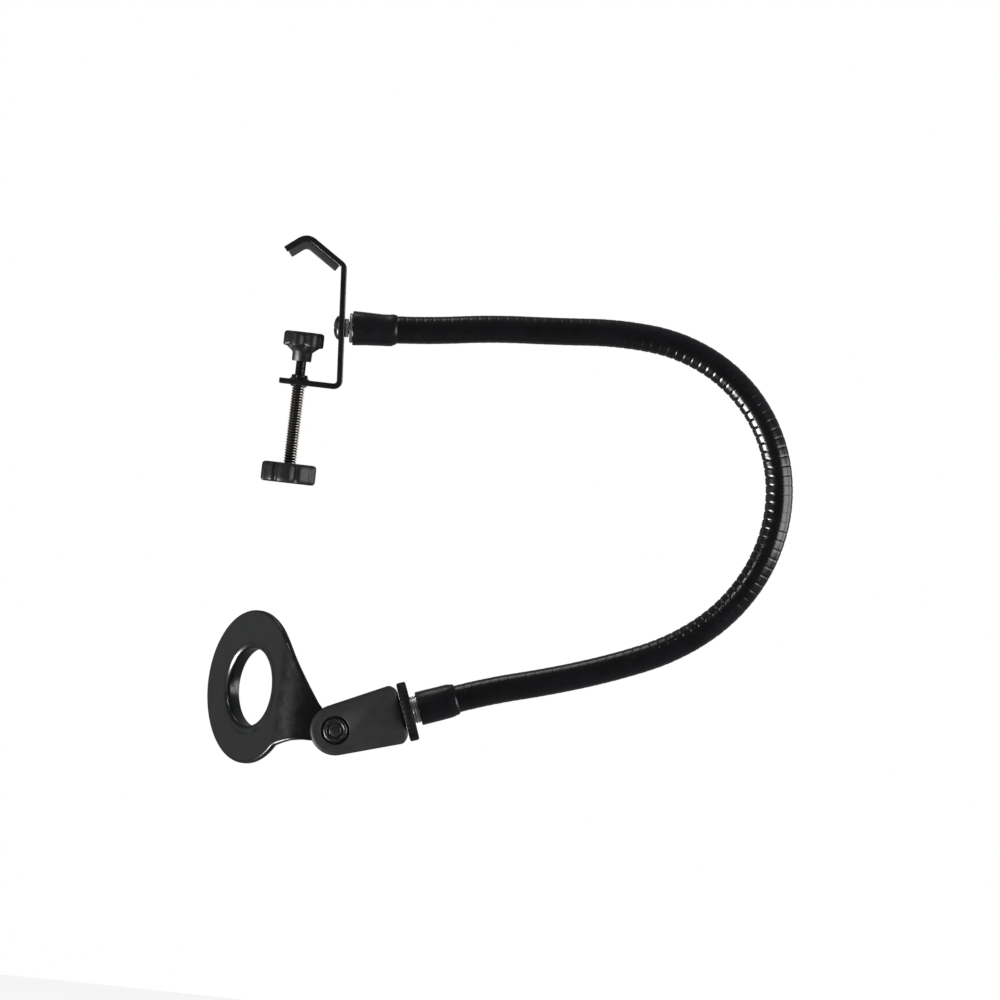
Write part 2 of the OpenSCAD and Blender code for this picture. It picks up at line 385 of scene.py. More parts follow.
PAINT = SatinPaint("black_paint", (0.005, 0.005, 0.0055), (0.011, 0.011, 0.012), (0.22, 0.36), grain=1400,
                   grain_depth=0.02 * MM, scuff=(0.06, 0.06, 0.06))
RUBBER = Finish("jaw_rubber", (0.014, 0.014, 0.015), (0.024, 0.024, 0.025), (0.62, 0.85), grain=1900,
                grain_depth=0.03 * MM)
BLACK_STEEL = Finish("blackened_steel", (0.030, 0.030, 0.032), (0.085, 0.084, 0.085), (0.24, 0.42),
                     metallic=0.7,
                     grain=3200, patches=220)
ZINC = TurnedMetal("zinc_steel", (0.62, 0.60, 0.57), (0.80, 0.79, 0.77), (0.16, 0.34), metallic=1,
                   patches=180)
# the dark colour is painted shade in the thread's roots; the bright colour is the rubbed crests
THREAD = WornThreadShadedRoots("worn_black_steel", (0.012, 0.011, 0.010), (0.04, 0.036, 0.034), (0.22, 0.5),
                    metallic=0.9,
                    patches=300)
KNOB = Finish("knob_plastic", (0.016, 0.0165, 0.019), (0.026, 0.027, 0.031), (0.34, 0.50), grain=2300,
              grain_depth=0.02 * MM, specular=0.28, patches=90)
LOCK_PLASTIC = Finish("knob_plastic", (0.004, 0.004, 0.0045), (0.008, 0.008, 0.0085), (0.42, 0.58),
                      grain=2300,
                      grain_depth=0.02 * MM, specular=0.2, patches=90, shade="dark")
SLEEVE = StretchedVinyl("shrink_sleeve", (0.006, 0.006, 0.008), (0.012, 0.012, 0.015), (0.24, 0.38),
                        waves=190,
                        wave_depth=0.10 * MM, coat=0.05, specular=0.35)
VINYL = StretchedVinyl("neck_vinyl", (0.004, 0.004, 0.0052), (0.008, 0.008, 0.010), (0.16, 0.30), coat=0.08,
                       specular=0.4)
COIL = TurnedMetal("coil_steel", (0.30, 0.30, 0.31), (0.50, 0.50, 0.51), (0.25, 0.45), metallic=1)
FORK = Finish("clevis_plastic", (0.042, 0.043, 0.045), (0.055, 0.056, 0.059), (0.44, 0.60), grain=2100,
              grain_depth=0.03 * MM, specular=0.22, patches=110)
RING = Finish("ring_plastic", (0.003, 0.0042, 0.0048), (0.006, 0.0078, 0.0086), (0.20, 0.30), grain=2600,
              grain_depth=0.005 * MM, patches=45)


# ---------------------------------------------------------------- shapes


def rounded(points: Sequence[Point], radius: float | Sequence[float], closed: bool = False,
            steps: int = 5) -> list[Point]:
    """Round the corners of an outline with arcs.

    Args:
        points: the outline's corners.
        radius: the arcs' radius, or one for each corner; a short side takes a smaller one.
        closed: whether the last point joins the first.
        steps: straight bits in each arc.

    Returns:
        The outline with an arc in place of each corner.
    """
    corners = [Vector(p) for p in points]
    count = len(corners)
    radii = [radius] * count if isinstance(radius, (int, float)) else list(radius)
    done: list[Point] = []
    for i, corner in enumerate(corners):
        if not closed and i in (0, count - 1):
            done.append((corner.x, corner.y))
            continue
        arriving, leaving = corner - corners[i - 1], corners[(i + 1) % count] - corner
        half_turn = arriving.angle(leaving) / 2
        side = math.copysign(1, arriving.x * leaving.y - arriving.y * leaving.x)
        reach = min(radii[i] * math.tan(half_turn), 0.48 * arriving.length, 0.48 * leaving.length)
        along = arriving.normalized()
        inward = Vector((-along.y, along.x)) * side * reach / math.tan(half_turn)
        first = corner - along * reach
        for k in range(steps + 1):
            spoke = turned_by(-inward, side * 2 * half_turn * k / steps)
            done.append((first.x + inward.x + spoke.x, first.y + inward.y + spoke.y))
    return done


def turned_by(arrow: Vector, angle: float) -> Vector:
    """A flat vector turned anticlockwise by an angle in radians."""
    c, s = math.cos(angle), math.sin(angle)
    return Vector((c * arrow.x - s * arrow.y, s * arrow.x + c * arrow.y))


def beside(line: Sequence[Point], distance: float) -> list[Point]:
    """An open line moved sideways, to the right of its direction, with its corners mitred.

    Args:
        line: the line's corners.
        distance: how far it is moved.

    Returns:
        The moved corners.
    """
    spots = [Vector(p) for p in line]
    last = len(spots) - 1
    moved: list[Point] = []
    for i, spot in enumerate(spots):
        arriving = (spots[max(i, 1)] - spots[max(i, 1) - 1]).normalized()
        leaving = (spots[min(i + 1, last)] - spots[min(i, last - 1)]).normalized()
        middle = (arriving + leaving).normalized()
        right = Vector((middle.y, -middle.x))
        shift = right * distance / right.dot(Vector((arriving.y, -arriving.x)))
        moved.append((spot.x + shift.x, spot.y + shift.y))
    return moved


def eased(value: float, low: float, high: float) -> float:
    """0 below low, 1 above high, and a smooth rise between them."""
    t = min(1.0, max(0.0, (value - low) / (high - low)))
    return t * t * (3 - 2 * t)


def seat(origin: Sequence[float], direction: Sequence[float], side: Sequence[float] = (0, 1, 0)) -> Matrix:
    """The turn and shift that put a shape's Z axis along a direction.

    Args:
        origin: where the shape's own origin goes.
        direction: where its Z axis points.
        side: where its Y axis points, square to the direction.

    Returns:
        The 4 by 4 matrix.
    """
    z, y = Vector(direction).normalized(), Vector(side).normalized()
    x = y.cross(z)
    turned = Matrix((x, y, z)).transposed().to_4x4()
    return Matrix.Translation(origin) @ turned


class Shape:
    """A bmesh on its way to a finished piece, in millimetres."""

    def __init__(self) -> None:
        """Start with nothing."""
        self.bm = bmesh.new()

    @classmethod
    def lathe(cls, outline: Sequence[Point], closed: bool = False, steps: int = 64) -> "Shape":
        """Turn a half section about Z.

        Args:
            outline: radius and height of each point.
            closed: whether the outline closes on itself, as a tube's does.
            steps: facets round the axis.

        Returns:
            The turned shape.
        """
        shape = cls()
        verts = [shape.bm.verts.new((r, 0, h)) for r, h in outline]
        pairs = list(zip(verts, verts[1:])) + ([(verts[-1], verts[0])] if closed else [])
        edges = [shape.bm.edges.new(pair) for pair in pairs]
        bmesh.ops.spin(shape.bm, geom=verts + edges, cent=(0, 0, 0), axis=(0, 0, 1), angle=math.tau,
                       steps=steps, use_merge=True)
        bmesh.ops.remove_doubles(shape.bm, verts=shape.bm.verts[:], dist=WELD)
        return shape

    @classmethod
    def block(cls, outline: Sequence[Point], height: float) -> "Shape":
        """A prism of an outline in XY, raised along Z.

        Args:
            outline: the prism's outline.
            height: its height.

        Returns:
            The prism.
        """
        shape = cls()
        face = shape.bm.faces.new([shape.bm.verts.new((x, y, 0)) for x, y in outline])
        raised = bmesh.ops.extrude_face_region(shape.bm, geom=[face])["geom"]
        tops = [v for v in raised if isinstance(v, bmesh.types.BMVert)]
        bmesh.ops.translate(shape.bm, verts=tops, vec=(0, 0, height))
        return shape

    @classmethod
    def bar(cls, outer: Sequence[Point], inner: Sequence[Point], width: float) -> "Shape":
        """A flat bar between two lines in XZ, made by drawing its end face along them.

        Args:
            outer: the outer line's points.
            inner: the inner line's points, one for each outer one.
            width: the bar's width along Y.

        Returns:
            The bar.
        """
        shape = cls()
        half = width / 2

        def corners(i: int) -> list[Vector]:
            """The four corners of the section at point i."""
            (ox, oz), (ix, iz) = outer[i], inner[i]
            return [Vector((ox, -half, oz)), Vector((ox, half, oz)), Vector((ix, half, iz)),
                    Vector((ix, -half, iz))]

        ring = [shape.bm.verts.new(c) for c in corners(0)]
        face = shape.bm.faces.new(ring)
        for i in range(1, len(outer)):
            grown = bmesh.ops.extrude_face_region(shape.bm, geom=[face])["geom"]
            if i > 1:
                bmesh.ops.delete(shape.bm, geom=[face], context="FACES_ONLY")
            face = next(f for f in grown if isinstance(f, bmesh.types.BMFace))
            targets = corners(i)
            old = corners(i - 1)
            for vert in face.verts:
                nearest = min(range(4), key=lambda k: (vert.co - old[k]).length)
                vert.co = targets[nearest]
        return shape

    @classmethod
    def thread(cls, crest: float, root: float, pitch: float, low: float, high: float,
               steps: int = 32) -> "Shape":
        """A threaded rod along Z.

        Args:
            crest: radius at the crests.
            root: radius at the roots.
            pitch: rise in one turn.
            low: height of the lower end.
            high: height of the upper end.
            steps: facets in one turn.

        Returns:
            The rod.
        """
        shape = cls()
        tooth = [(root, 0), (root, 0.12), (crest - 0.15 * (crest - root), 0.40), (crest, 0.46), (crest, 0.60),
                 (crest - 0.15 * (crest - root), 0.66), (root, 0.94), (root, 1)]
        start = low - 1.5 * pitch
        turns = math.ceil((high - start) / pitch) + 1
        verts = [shape.bm.verts.new((r, 0, start + share * pitch)) for r, share in tooth]
        edges = [shape.bm.edges.new(pair) for pair in zip(verts, verts[1:])]
        bmesh.ops.spin(shape.bm, geom=verts + edges, cent=(0, 0, 0), axis=(0, 0, 1), angle=math.tau * turns,
                       steps=steps * turns, dvec=(0, 0, pitch / steps))
        bmesh.ops.remove_doubles(shape.bm, verts=shape.bm.verts[:], dist=WELD)
        shape.trim((0, 0, low), (0, 0, -1))
        shape.trim((0, 0, high), (0, 0, 1))
        return shape

    def trim(self, at: Sequence[float], outward: Sequence[float]) -> "Shape":
        """Cut off what lies outside a plane, and close the cut.

        Args:
            at: a point on the plane.
            outward: the side that is cut off.

        Returns:
            The same shape.
        """
        geometry = self.bm.verts[:] + self.bm.edges[:] + self.bm.faces[:]
        cut = bmesh.ops.bisect_plane(self.bm, geom=geometry, plane_co=at, plane_no=outward, clear_outer=True)
        rim = [e for e in cut["geom_cut"] if isinstance(e, bmesh.types.BMEdge)]
        bmesh.ops.contextual_create(self.bm, geom=rim)
        return self

    def move(self, matrix: Matrix) -> "Shape":
        """Shift or turn the whole shape."""
        bmesh.ops.transform(self.bm, matrix=matrix, verts=self.bm.verts[:])
        return self

    def reshape(self, rule: Callable[[Vector], Vector]) -> "Shape":
        """Move each vertex to where a rule says.

        Args:
            rule: gives the new place for an old one.

        Returns:
            The same shape.
        """
        for vert in self.bm.verts:
            vert.co = rule(vert.co.copy())
        return self

    def soften(self, width: float, segments: int = 3, sharper_than: float = 40) -> "Shape":
        """Bevel the sharp edges.

        Args:
            width: the bevel's width.
            segments: rows of faces in it.
            sharper_than: the least angle between faces, in degrees.

        Returns:
            The same shape.
        """
        limit = math.radians(sharper_than)
        self.bm.normal_update()
        edges = [e for e in self.bm.edges if len(e.link_faces) == 2 and e.calc_face_angle() > limit]
        bmesh.ops.bevel(self.bm, geom=edges, offset=width, offset_type="OFFSET", segments=segments,
                        profile=0.5,
                        affect="EDGES", clamp_overlap=True, material=-1)
        return self

    def tag(self, name: str, rule: Callable[[Vector], float]) -> "Shape":
        """Give each vertex a number that a finish reads.

        Args:
            name: the attribute's name.
            rule: gives the number for a place.

        Returns:
            The same shape.
        """
        layer = self.bm.verts.layers.float.new(name)
        for vert in self.bm.verts:
            vert[layer] = rule(vert.co)
        return self

    def mesh(self, name: str) -> bpy.types.Mesh:
        """The shape as a mesh with its normals outwards, smooth but for its sharp edges.

        Args:
            name: the mesh's name.

        Returns:
            The mesh, in metres.
        """
        bmesh.ops.recalc_face_normals(self.bm, faces=self.bm.faces[:])
        bmesh.ops.scale(self.bm, vec=(MM, MM, MM), verts=self.bm.verts[:])
        data = bpy.data.meshes.new(name)
        self.bm.to_mesh(data)
        self.bm.free()
        data.shade_smooth()
        data.set_sharp_from_angle(angle=math.radians(38))
        return data

    def piece(self, name: str, finish: Finish, body: str, stands_for: Iterable[str] = ()) -> bpy.types.Object:
        """Make the shape a piece that rides on a body.

        Args:
            name: the piece's name.
            finish: what it is made of.
            body: the body that it moves with.
            stands_for: the plain nodes that it replaces.

        Returns:
            The piece.
        """
        made = bare_piece(name, self.mesh(name), finish)
        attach(made, body)
        for node in stands_for:
            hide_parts(node)
        log.info("%s: %d faces on %s", name, len(made.data.polygons), body)
        return made


def bare_piece(name: str, data: bpy.types.Mesh, finish: Finish) -> bpy.types.Object:
    """An object of a mesh in its finish, not yet on any body.

    Args:
        name: the object's name.
        data: its mesh.
        finish: its finish.

    Returns:
        The object.
    """
    made = bpy.data.objects.new(name, data)
    bpy.context.collection.objects.link(made)
    data.materials.clear()
    data.materials.append(finish.material())
    return made


def carve(target: bpy.types.Object, tools: Iterable["Shape"]) -> bpy.types.Object:
    """Cut shapes out of a piece, and throw the cutters away.

    Args:
        target: the piece that is cut.
        tools: the shapes that are cut out.

    Returns:
        The same piece.
    """
    for shape in tools:
        cutter = bpy.data.objects.new("cutter", shape.mesh("cutter"))
        bpy.context.collection.objects.link(cutter)
        cut = target.modifiers.new("cut", "BOOLEAN")
        cut.operation, cut.solver, cut.object = "DIFFERENCE", "EXACT", cutter
        bpy.context.view_layer.update()
        seen = target.evaluated_get(bpy.context.evaluated_depsgraph_get())
        fresh = bpy.data.meshes.new_from_object(seen)
        target.modifiers.clear()
        target.data = fresh
        bpy.data.objects.remove(cutter)
    return target


# ---------------------------------------------------------------- places


@dataclass(frozen=True)
class Hinge:
    """Where a packed joint sits, in millimetres, and the way its axis points.

    Attributes:
        at: the joint's place.
        axis: the way its axis points.
    """

    at: Vector
    axis: Vector

    @classmethod
    def named(cls, name: str) -> "Hinge":
        """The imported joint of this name."""
        joint = next(j for j in frame["joints"] if j["name"] == name)
        return cls(Vector(joint["pos_m"]) / MM, Vector(joint["axis"]).normalized())

    def seat(self, distance: float = 0) -> Matrix:
        """Put a shape's Z axis on the joint's axis, its origin some way along it."""
        return seat(self.at + self.axis * distance, self.axis)


def node_box(name: str) -> tuple[Vector, Vector]:
    """The lowest and highest corner of a plain node, in millimetres."""
    low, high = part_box(name)
    return low / MM, high / MM


# ---------------------------------------------------------------- clamp


@dataclass
class ClampBracket:
    """The bent flat bar with its hooked jaw, rubber pad, threaded collar and pivot screw.

    Attributes:
        width: width of the bar.
        thick: thickness of the bar.
        bend: outer radius of the bends at the spine's ends.
        peak_bend: outer radius of the bend at the jaw's peak.
        slope: mean fall of the two jaw arms, in degrees.
        tip: how much the short arm falls more steeply, and the long one less, in degrees.
        lip: length of the short jaw arm.
        long_arm: length of the long jaw arm.
        peak_height: height of the jaw's sharp outer corner over the row's origin.
        peak_offset: how far that corner stands off the clamp screw.
        lean: lean of the spine, in degrees.
        leg: length of the leg.
        pad: thickness of the rubber.
        edge: width of the bar's broken edges.
    """

    width: float = 15
    thick: float = 2.8
    bend: float = 4.4
    peak_bend: float = 7.3
    slope: float = 35.5
    tip: float = 2.3
    lip: float = 14.1
    long_arm: float = 25.3
    peak_height: float = 8.423
    peak_offset: float = 4.1
    lean: float = 4.4
    leg: float = 31.8
    pad: float = 3.5
    edge: float = 0.5

    def corners(self) -> list[Point]:
        """The sharp corners of the bar's outer line, from the lip to the leg's end.

        Returns:
            Five corners in XZ.
        """
        floor = node_box("bracket")[0].z
        steep, easy = math.radians(self.slope + self.tip), math.radians(self.slope - self.tip)
        peak = (-self.peak_offset, self.peak_height)
        lip = (peak[0] - self.lip * math.cos(steep), peak[1] - self.lip * math.sin(steep))
        shoulder = (peak[0] + self.long_arm * math.cos(easy), peak[1] - self.long_arm * math.sin(easy))
        heel = (shoulder[0] + (shoulder[1] - floor) * math.tan(math.radians(self.lean)), floor)
        return [lip, peak, shoulder, heel, (heel[0] - self.leg, floor)]

    def build_bar(self) -> None:
        """Bend the bar along its line."""
        line = self.corners()
        radii = [0, self.peak_bend, self.bend, self.bend, 0]
        outer = rounded(line, radii, steps=9)
        inner = rounded(beside(line, self.thick), [r - self.thick for r in radii], steps=9)
        bar = Shape.bar(outer, inner, self.width).soften(self.edge, 3)
        bar.piece("clamp_bar", PAINT, Body.FRAME, ["bracket"])

    def build_pad(self) -> None:
        """Lay the rubber strip under the jaw, set back from the lip and from the spine."""
        lip, peak, shoulder = (Vector(p) for p in self.corners()[:3])
        start = lip + (peak - lip).normalized() * 0.8
        end = shoulder - (shoulder - peak).normalized() * 2.6
        line = [tuple(start), tuple(peak), tuple(end)]
        top = rounded(beside(line, self.thick - 0.02), self.peak_bend - self.thick, steps=9)
        under = rounded(beside(line, self.thick + self.pad), 3, steps=9)
        pad = Shape.bar(top, under, self.width - 0.7).soften(0.55, 4)
        pad.piece("jaw_rubber_strip", RUBBER, Body.FRAME, ["jaw_pad"])

    def build_collar(self) -> None:
        """Draw the threaded collar up out of the leg, with a fillet at its foot."""
        low, high = node_box("thread_collar")
        top_of_leg = node_box("bracket")[0].z + self.thick
        radius = (high.x - low.x) / 2 - 1
        outline = [(3.3, low.z + 0.4), (3.7, low.z), (radius - 0.3, low.z), (radius, low.z + 0.3),
                   (radius, top_of_leg - 0.3), (radius + 1.5, top_of_leg), (radius + 0.8, top_of_leg + 0.25),
                   (radius + 0.3, top_of_leg + 0.6), (radius, top_of_leg + 1.1),
                   (radius - 0.1, high.z - 0.35),
                   (radius - 0.45, high.z), (3.6, high.z), (3.3, high.z - 0.3)]
        Shape.lathe(outline, closed=True).piece("screw_collar", PAINT, Body.FRAME, ["thread_collar"])

    def build_pivot(self) -> None:
        """Set the domed cross-head screw through the spine."""
        arm = Hinge.named("arm_swivel")
        back = -self.thick
        dome = [(0, back - 2.6), (1.8, back - 2.52), (3.4, back - 2.2), (4.7, back - 1.65),
                (5.6, back - 0.95),
                (5.95, back - 0.35), (6, back), (3.2, back), (3.2, 10), (0, 10)]
        head = Shape.lathe(dome).move(arm.seat()).piece("pivot_screw_head", BLACK_STEEL, Body.FRAME,
                                                        ["pivot_screw"])
        slots = []
        for wide, tall in ((5.2, 0.95), (0.95, 5.2)):
            corners = [(-wide / 2, -tall / 2), (wide / 2, -tall / 2), (wide / 2, tall / 2),
                       (-wide / 2, tall / 2)]
            slots.append(Shape.block(corners, 2.4).move(arm.seat(back - 3.6)))
        carve(head, slots)
        head.data.shade_smooth()
        head.data.set_sharp_from_angle(angle=math.radians(38))

    def build(self) -> None:
        """Build the fixed part of the clamp."""
        self.build_bar()
        self.build_pad()
        self.build_collar()
        self.build_pivot()
        self.build_spacer()

    def build_spacer(self) -> None:
        """Turn the six-sided spacer nut between the spine and the arm."""
        arm = Hinge.named("arm_swivel")
        hexagon = [(4.7 * math.cos(math.tau * k / 6), 4.7 * math.sin(math.tau * k / 6)) for k in range(6)]
        nut = Shape.block(hexagon, 2.15).soften(0.3, 2).move(arm.seat())
        nut.piece("spacer_hex_nut", ZINC, Body.FRAME, ["spacer_nut"])


@dataclass(frozen=True)
class Lobes:
    """The scalloped edge of a hand knob.

    Attributes:
        count: number of lobes.
        depth: how deep the valleys are.
        sharp: how narrow the valleys are; higher is narrower.
        turn: angle of the first valley, in degrees from +X.
        dip: how far the faces sink at the valleys.
    """

    count: int
    depth: float
    sharp: float
    turn: float
    dip: float

    def valley(self, at: Vector) -> float:
        """1 in the middle of a valley, 0 on a lobe, by the angle of a point about Z."""
        angle = math.atan2(at.y, at.x) - math.radians(self.turn)
        return abs(math.cos(angle * self.count / 2)) ** self.sharp

    def cut(self, shape: Shape, rim: float, hub: float, middle: float) -> Shape:
        """Press the valleys into a turned knob.

        Args:
            shape: the knob, about Z.
            rim: radius of the lobes.
            hub: radius inside which nothing moves.
            middle: height about which the faces sink.

        Returns:
            The same shape.
        """
        def press(at: Vector) -> Vector:
            """Where a point goes when the valleys are pressed in."""
            radius = math.hypot(at.x, at.y)
            if radius <= hub:
                return at
            share = eased(radius, hub, rim)
            narrower = 1 - self.depth * self.valley(at) * share / radius
            sink = self.dip * self.valley(at) * eased(radius, rim * 0.6, rim)
            return Vector((at.x * narrower, at.y * narrower, at.z - math.copysign(sink, at.z - middle)))

        return shape.reshape(press)


@dataclass
class ClampScrew:
    """The screw that closes the clamp, with its pressure foot and its hand knob.

    Attributes:
        pitch: rise of the thread in one turn.
        root: radius at the thread's roots.
        neck: radius of the plain neck that turns in the foot.
        foot_hub: height of the foot's hub under its rim.
        foot_lobes: scallops of the pressure foot.
        knob_lobes: scallops of the hand knob.
    """

    pitch: float = 1.35
    root: float = 2.55
    neck: float = 2.5
    foot_hub: float = 6.8
    foot_lobes: Lobes = Lobes(6, 1.9, 3, -87, 0.9)
    knob_lobes: Lobes = Lobes(8, 1.3, 9, -76, 0.35)

    def build_foot(self) -> None:
        """Turn the foot, wider at its base than at its face, and press its lobes in."""
        low, high = node_box("pressure_foot")
        rim = (high.x - low.x) / 2
        base, face = low.z + self.foot_hub, high.z
        outline = [(2.55, low.z - 0.2), (2.9, low.z - 0.5), (4.6, low.z - 0.5), (4.85, low.z - 0.2),
                   (5.0, low.z + 3.6),
                   (5.25, low.z + 4.2), (7.5, base - 0.75), (8.3, base - 0.15), (rim - 0.6, base),
                   (rim - 0.15, base + 0.25),
                   (rim, base + 0.8), (rim, base + 2.6), (rim, face - 1.5), (rim - 0.2, face - 0.8),
                   (rim - 0.7, face - 0.25), (rim - 1.6, face), (5.0, face), (4.5, face - 0.12),
                   (4.1, face - 0.5),
                   (0, face - 0.5), (0, low.z + 6.2), (2.55, low.z + 6.2)]
        foot = Shape.lathe(outline, closed=True, steps=120)
        self.foot_lobes.cut(foot, rim, 5.2, base + 2).piece("pressure_foot_cap", KNOB, Body.FOOT,
                                                            ["pressure_foot"])

    def build_screw(self) -> None:
        """Cut the thread between the knob and the plain neck, and turn the neck."""
        knob_top = node_box("hand_knob")[1].z
        low, high = node_box("clamp_screw")
        thread_top = node_box("thread_collar")[1].z - 0.7
        crest = (high.x - low.x) / 2
        rod = Shape.thread(crest, self.root, self.pitch, knob_top - 1, thread_top)
        # 0 in the roots, which the finish darkens as painted shade, 1 on the rubbed crests
        rod.tag("wear_and_root_shade", lambda at: (math.hypot(at.x, at.y) - self.root) / (crest - self.root))
        rod.piece("clamp_thread", THREAD, Body.SCREW, ["clamp_screw"])
        neck = [(0, thread_top - 1.5), (self.root, thread_top - 1.5), (self.root, thread_top),
                (self.neck, thread_top + 0.3),
                (self.neck, high.z - 0.3), (self.neck - 0.3, high.z), (0, high.z)]
        plain = Shape.lathe(neck)
        plain.tag("wear_and_root_shade", lambda at: 0.62)
        plain.piece("clamp_screw_neck", THREAD, Body.SCREW)

    def build_knob(self) -> None:
        """Turn the hand knob with a boss round the screw, and press its lobes in."""
        low, high = node_box("hand_knob")
        rim = (high.x - low.x) / 2
        top, base = high.z, low.z
        outline = [(0, base + 0.8), (4.5, base + 0.8), (5.4, base + 0.5), (6.2, base), (rim - 1.9, base),
                   (rim - 0.9, base + 0.2),
                   (rim - 0.3, base + 0.7), (rim - 0.05, base + 1.5), (rim, base + 3), (rim, top - 2.4),
                   (rim - 0.1, top - 1.3), (rim - 0.5, top - 0.5), (rim - 1.3, top - 0.1), (rim - 2.4, top),
                   (5.4, top), (4.6, top - 0.1), (4.2, top - 0.5), (3.3, top - 0.6), (3.3, top - 1.5),
                   (0, top - 1.5)]
        knob = Shape.lathe(outline, steps=168)
        self.knob_lobes.cut(knob, rim, 6.5, (top + base) / 2).piece("hand_knob_cap", KNOB, Body.SCREW,
                                                                    ["hand_knob"])

    def build(self) -> None:
        """Build what rises and turns in the clamp."""
        self.build_foot()
        self.build_screw()
        self.build_knob()


# ---------------------------------------------------------------- arm


@dataclass
class ArmStart:
    """The plated flange and the shrunk sleeve where the gooseneck starts.

    Attributes:
        flange: inner and outer station of the bright flange along the arm.
        flange_radius: its radius.
        length: where the sleeve ends.
        belly: how far the sleeve's underside bulges near its end.
    """

    flange: Point = (2.5, 4.0)
    flange_radius: float = 7.4
    length: float = 26.4
    belly: float = 0.85

    def build(self) -> None:
        """Turn both about the arm's axis."""
        arm = Hinge.named("arm_swivel")
        low, high = self.flange
        big = self.flange_radius
        socket = [(3.3, low + 0.2), (3.6, low), (big - 0.45, low), (big, low + 0.4), (big, high - 0.3),
                  (big - 0.3, high),
                  (6.3, high), (6.3, 25), (3.3, 25)]
        Shape.lathe(socket, closed=True).move(arm.seat()).piece("bright_flange", ZINC, Body.ARM_START,
                                                                ["neck_socket"])
        sleeve = Shape.lathe(self.outline(), closed=True, steps=96).reshape(self.sagged)
        sleeve.move(arm.seat()).piece("upper_shrink_sleeve", SLEEVE, Body.ARM_START, ["upper_sleeve"])

    def outline(self) -> list[Point]:
        """Half section of the sleeve: a cuff, a long taper, a lip, and a step down to the neck.

        Returns:
            Radii and distances along the arm.
        """
        taper = [(8.2, 10.5), (7.85, 15.5), (7.58, 19.0), (7.48, 21.0), (7.56, 22.6), (7.68, 23.8)]
        end = [(7.62, 24.8), (7.4, 25.7), (7.1, 26.2), (6.9, self.length), (6.5, self.length)]
        return [(6.45, 4.1), (8.2, 4.1), (8.5, 4.3), (8.6, 4.8), *taper, *end, (6.4, 24), (6.4, 6)]

    def sagged(self, at: Vector) -> Vector:
        """Let the underside, which is on +X, hang below the turned shape near the sleeve's end.

        Args:
            at: a point of the turned shape.

        Returns:
            The point, moved outwards.
        """
        radius = math.hypot(at.x, at.y)
        if radius < 6.6:
            return at
        under = ((1 + at.x / radius) / 2) ** 2
        swell = eased(at.z, 7, 21) * (1 - eased(at.z, 22.5, 26))
        ripple = 0.05 * math.sin(at.z * 1.9 + 2 * math.atan2(at.y, at.x)) * eased(at.z, 8,
                                                                                  12) * (1 - eased(at.z, 23,
                                                                                                   25))
        grown = 1 + (self.belly * under * swell + ripple) / radius
        return Vector((at.x * grown, at.y * grown, at.z))


@dataclass
class NeckRoute:
    """The line that the gooseneck follows, as links that each bend by a steady angle.

    Attributes:
        lead: length from the swivel to the neck's start.
        link: length of each link.
        bends: bend of each link in degrees, downwards.
    """

    lead: float = 26.4
    link: float = 31.87
    bends: tuple[float, ...] = (-4.5, 5, -1.5, 10, 22, 24, 24, 23.5, 21.5, 20.5, 16, 5, 3.5, -5.5)

    def __post_init__(self) -> None:
        """Walk along the links once, keeping each one's start and heading."""
        arm = Hinge.named("arm_swivel")
        self.starts = [arm.at + arm.axis * self.lead]
        self.headings = [math.atan2(arm.axis.z, arm.axis.x)]
        for i in range(len(self.bends)):
            place, heading = self.within(i, 1)
            self.starts.append(place)
            self.headings.append(heading)

    def within(self, i: int, share: float) -> tuple[Vector, float]:
        """The place and heading at a share of the way along link i.

        Args:
            i: the link's number, from 0.
            share: how far along it.

        Returns:
            The place and the heading.
        """
        turn = -math.radians(self.bends[i]) * share
        half = turn / 2
        chord = self.link * share * (math.sin(half) / half if half else 1)
        heading = self.headings[i]
        step = Vector((math.cos(heading + half), 0, math.sin(heading + half))) * chord
        return self.starts[i] + step, heading + turn

    def at(self, distance: float) -> tuple[Vector, float]:
        """The place and heading at a distance from the neck's start."""
        i = min(len(self.bends) - 1, max(0, int(distance / self.link)))
        return self.within(i, distance / self.link - i)

    @property
    def length(self) -> float:
        """Length of the whole neck."""
        return self.link * len(self.bends)

    def bend_at(self, distance: float) -> float:
        """How tight the bend is near a distance, in degrees for a link, smoothed between links.

        Args:
            distance: how far from the neck's start.

        Returns:
            Degrees for a link.
        """
        here = distance / self.link - 0.5
        i = math.floor(here)
        ends = [self.bends[min(len(self.bends) - 1, max(0, k))] for k in (i, i + 1)]
        share = here - i
        return ends[0] * (1 - share) + ends[1] * share


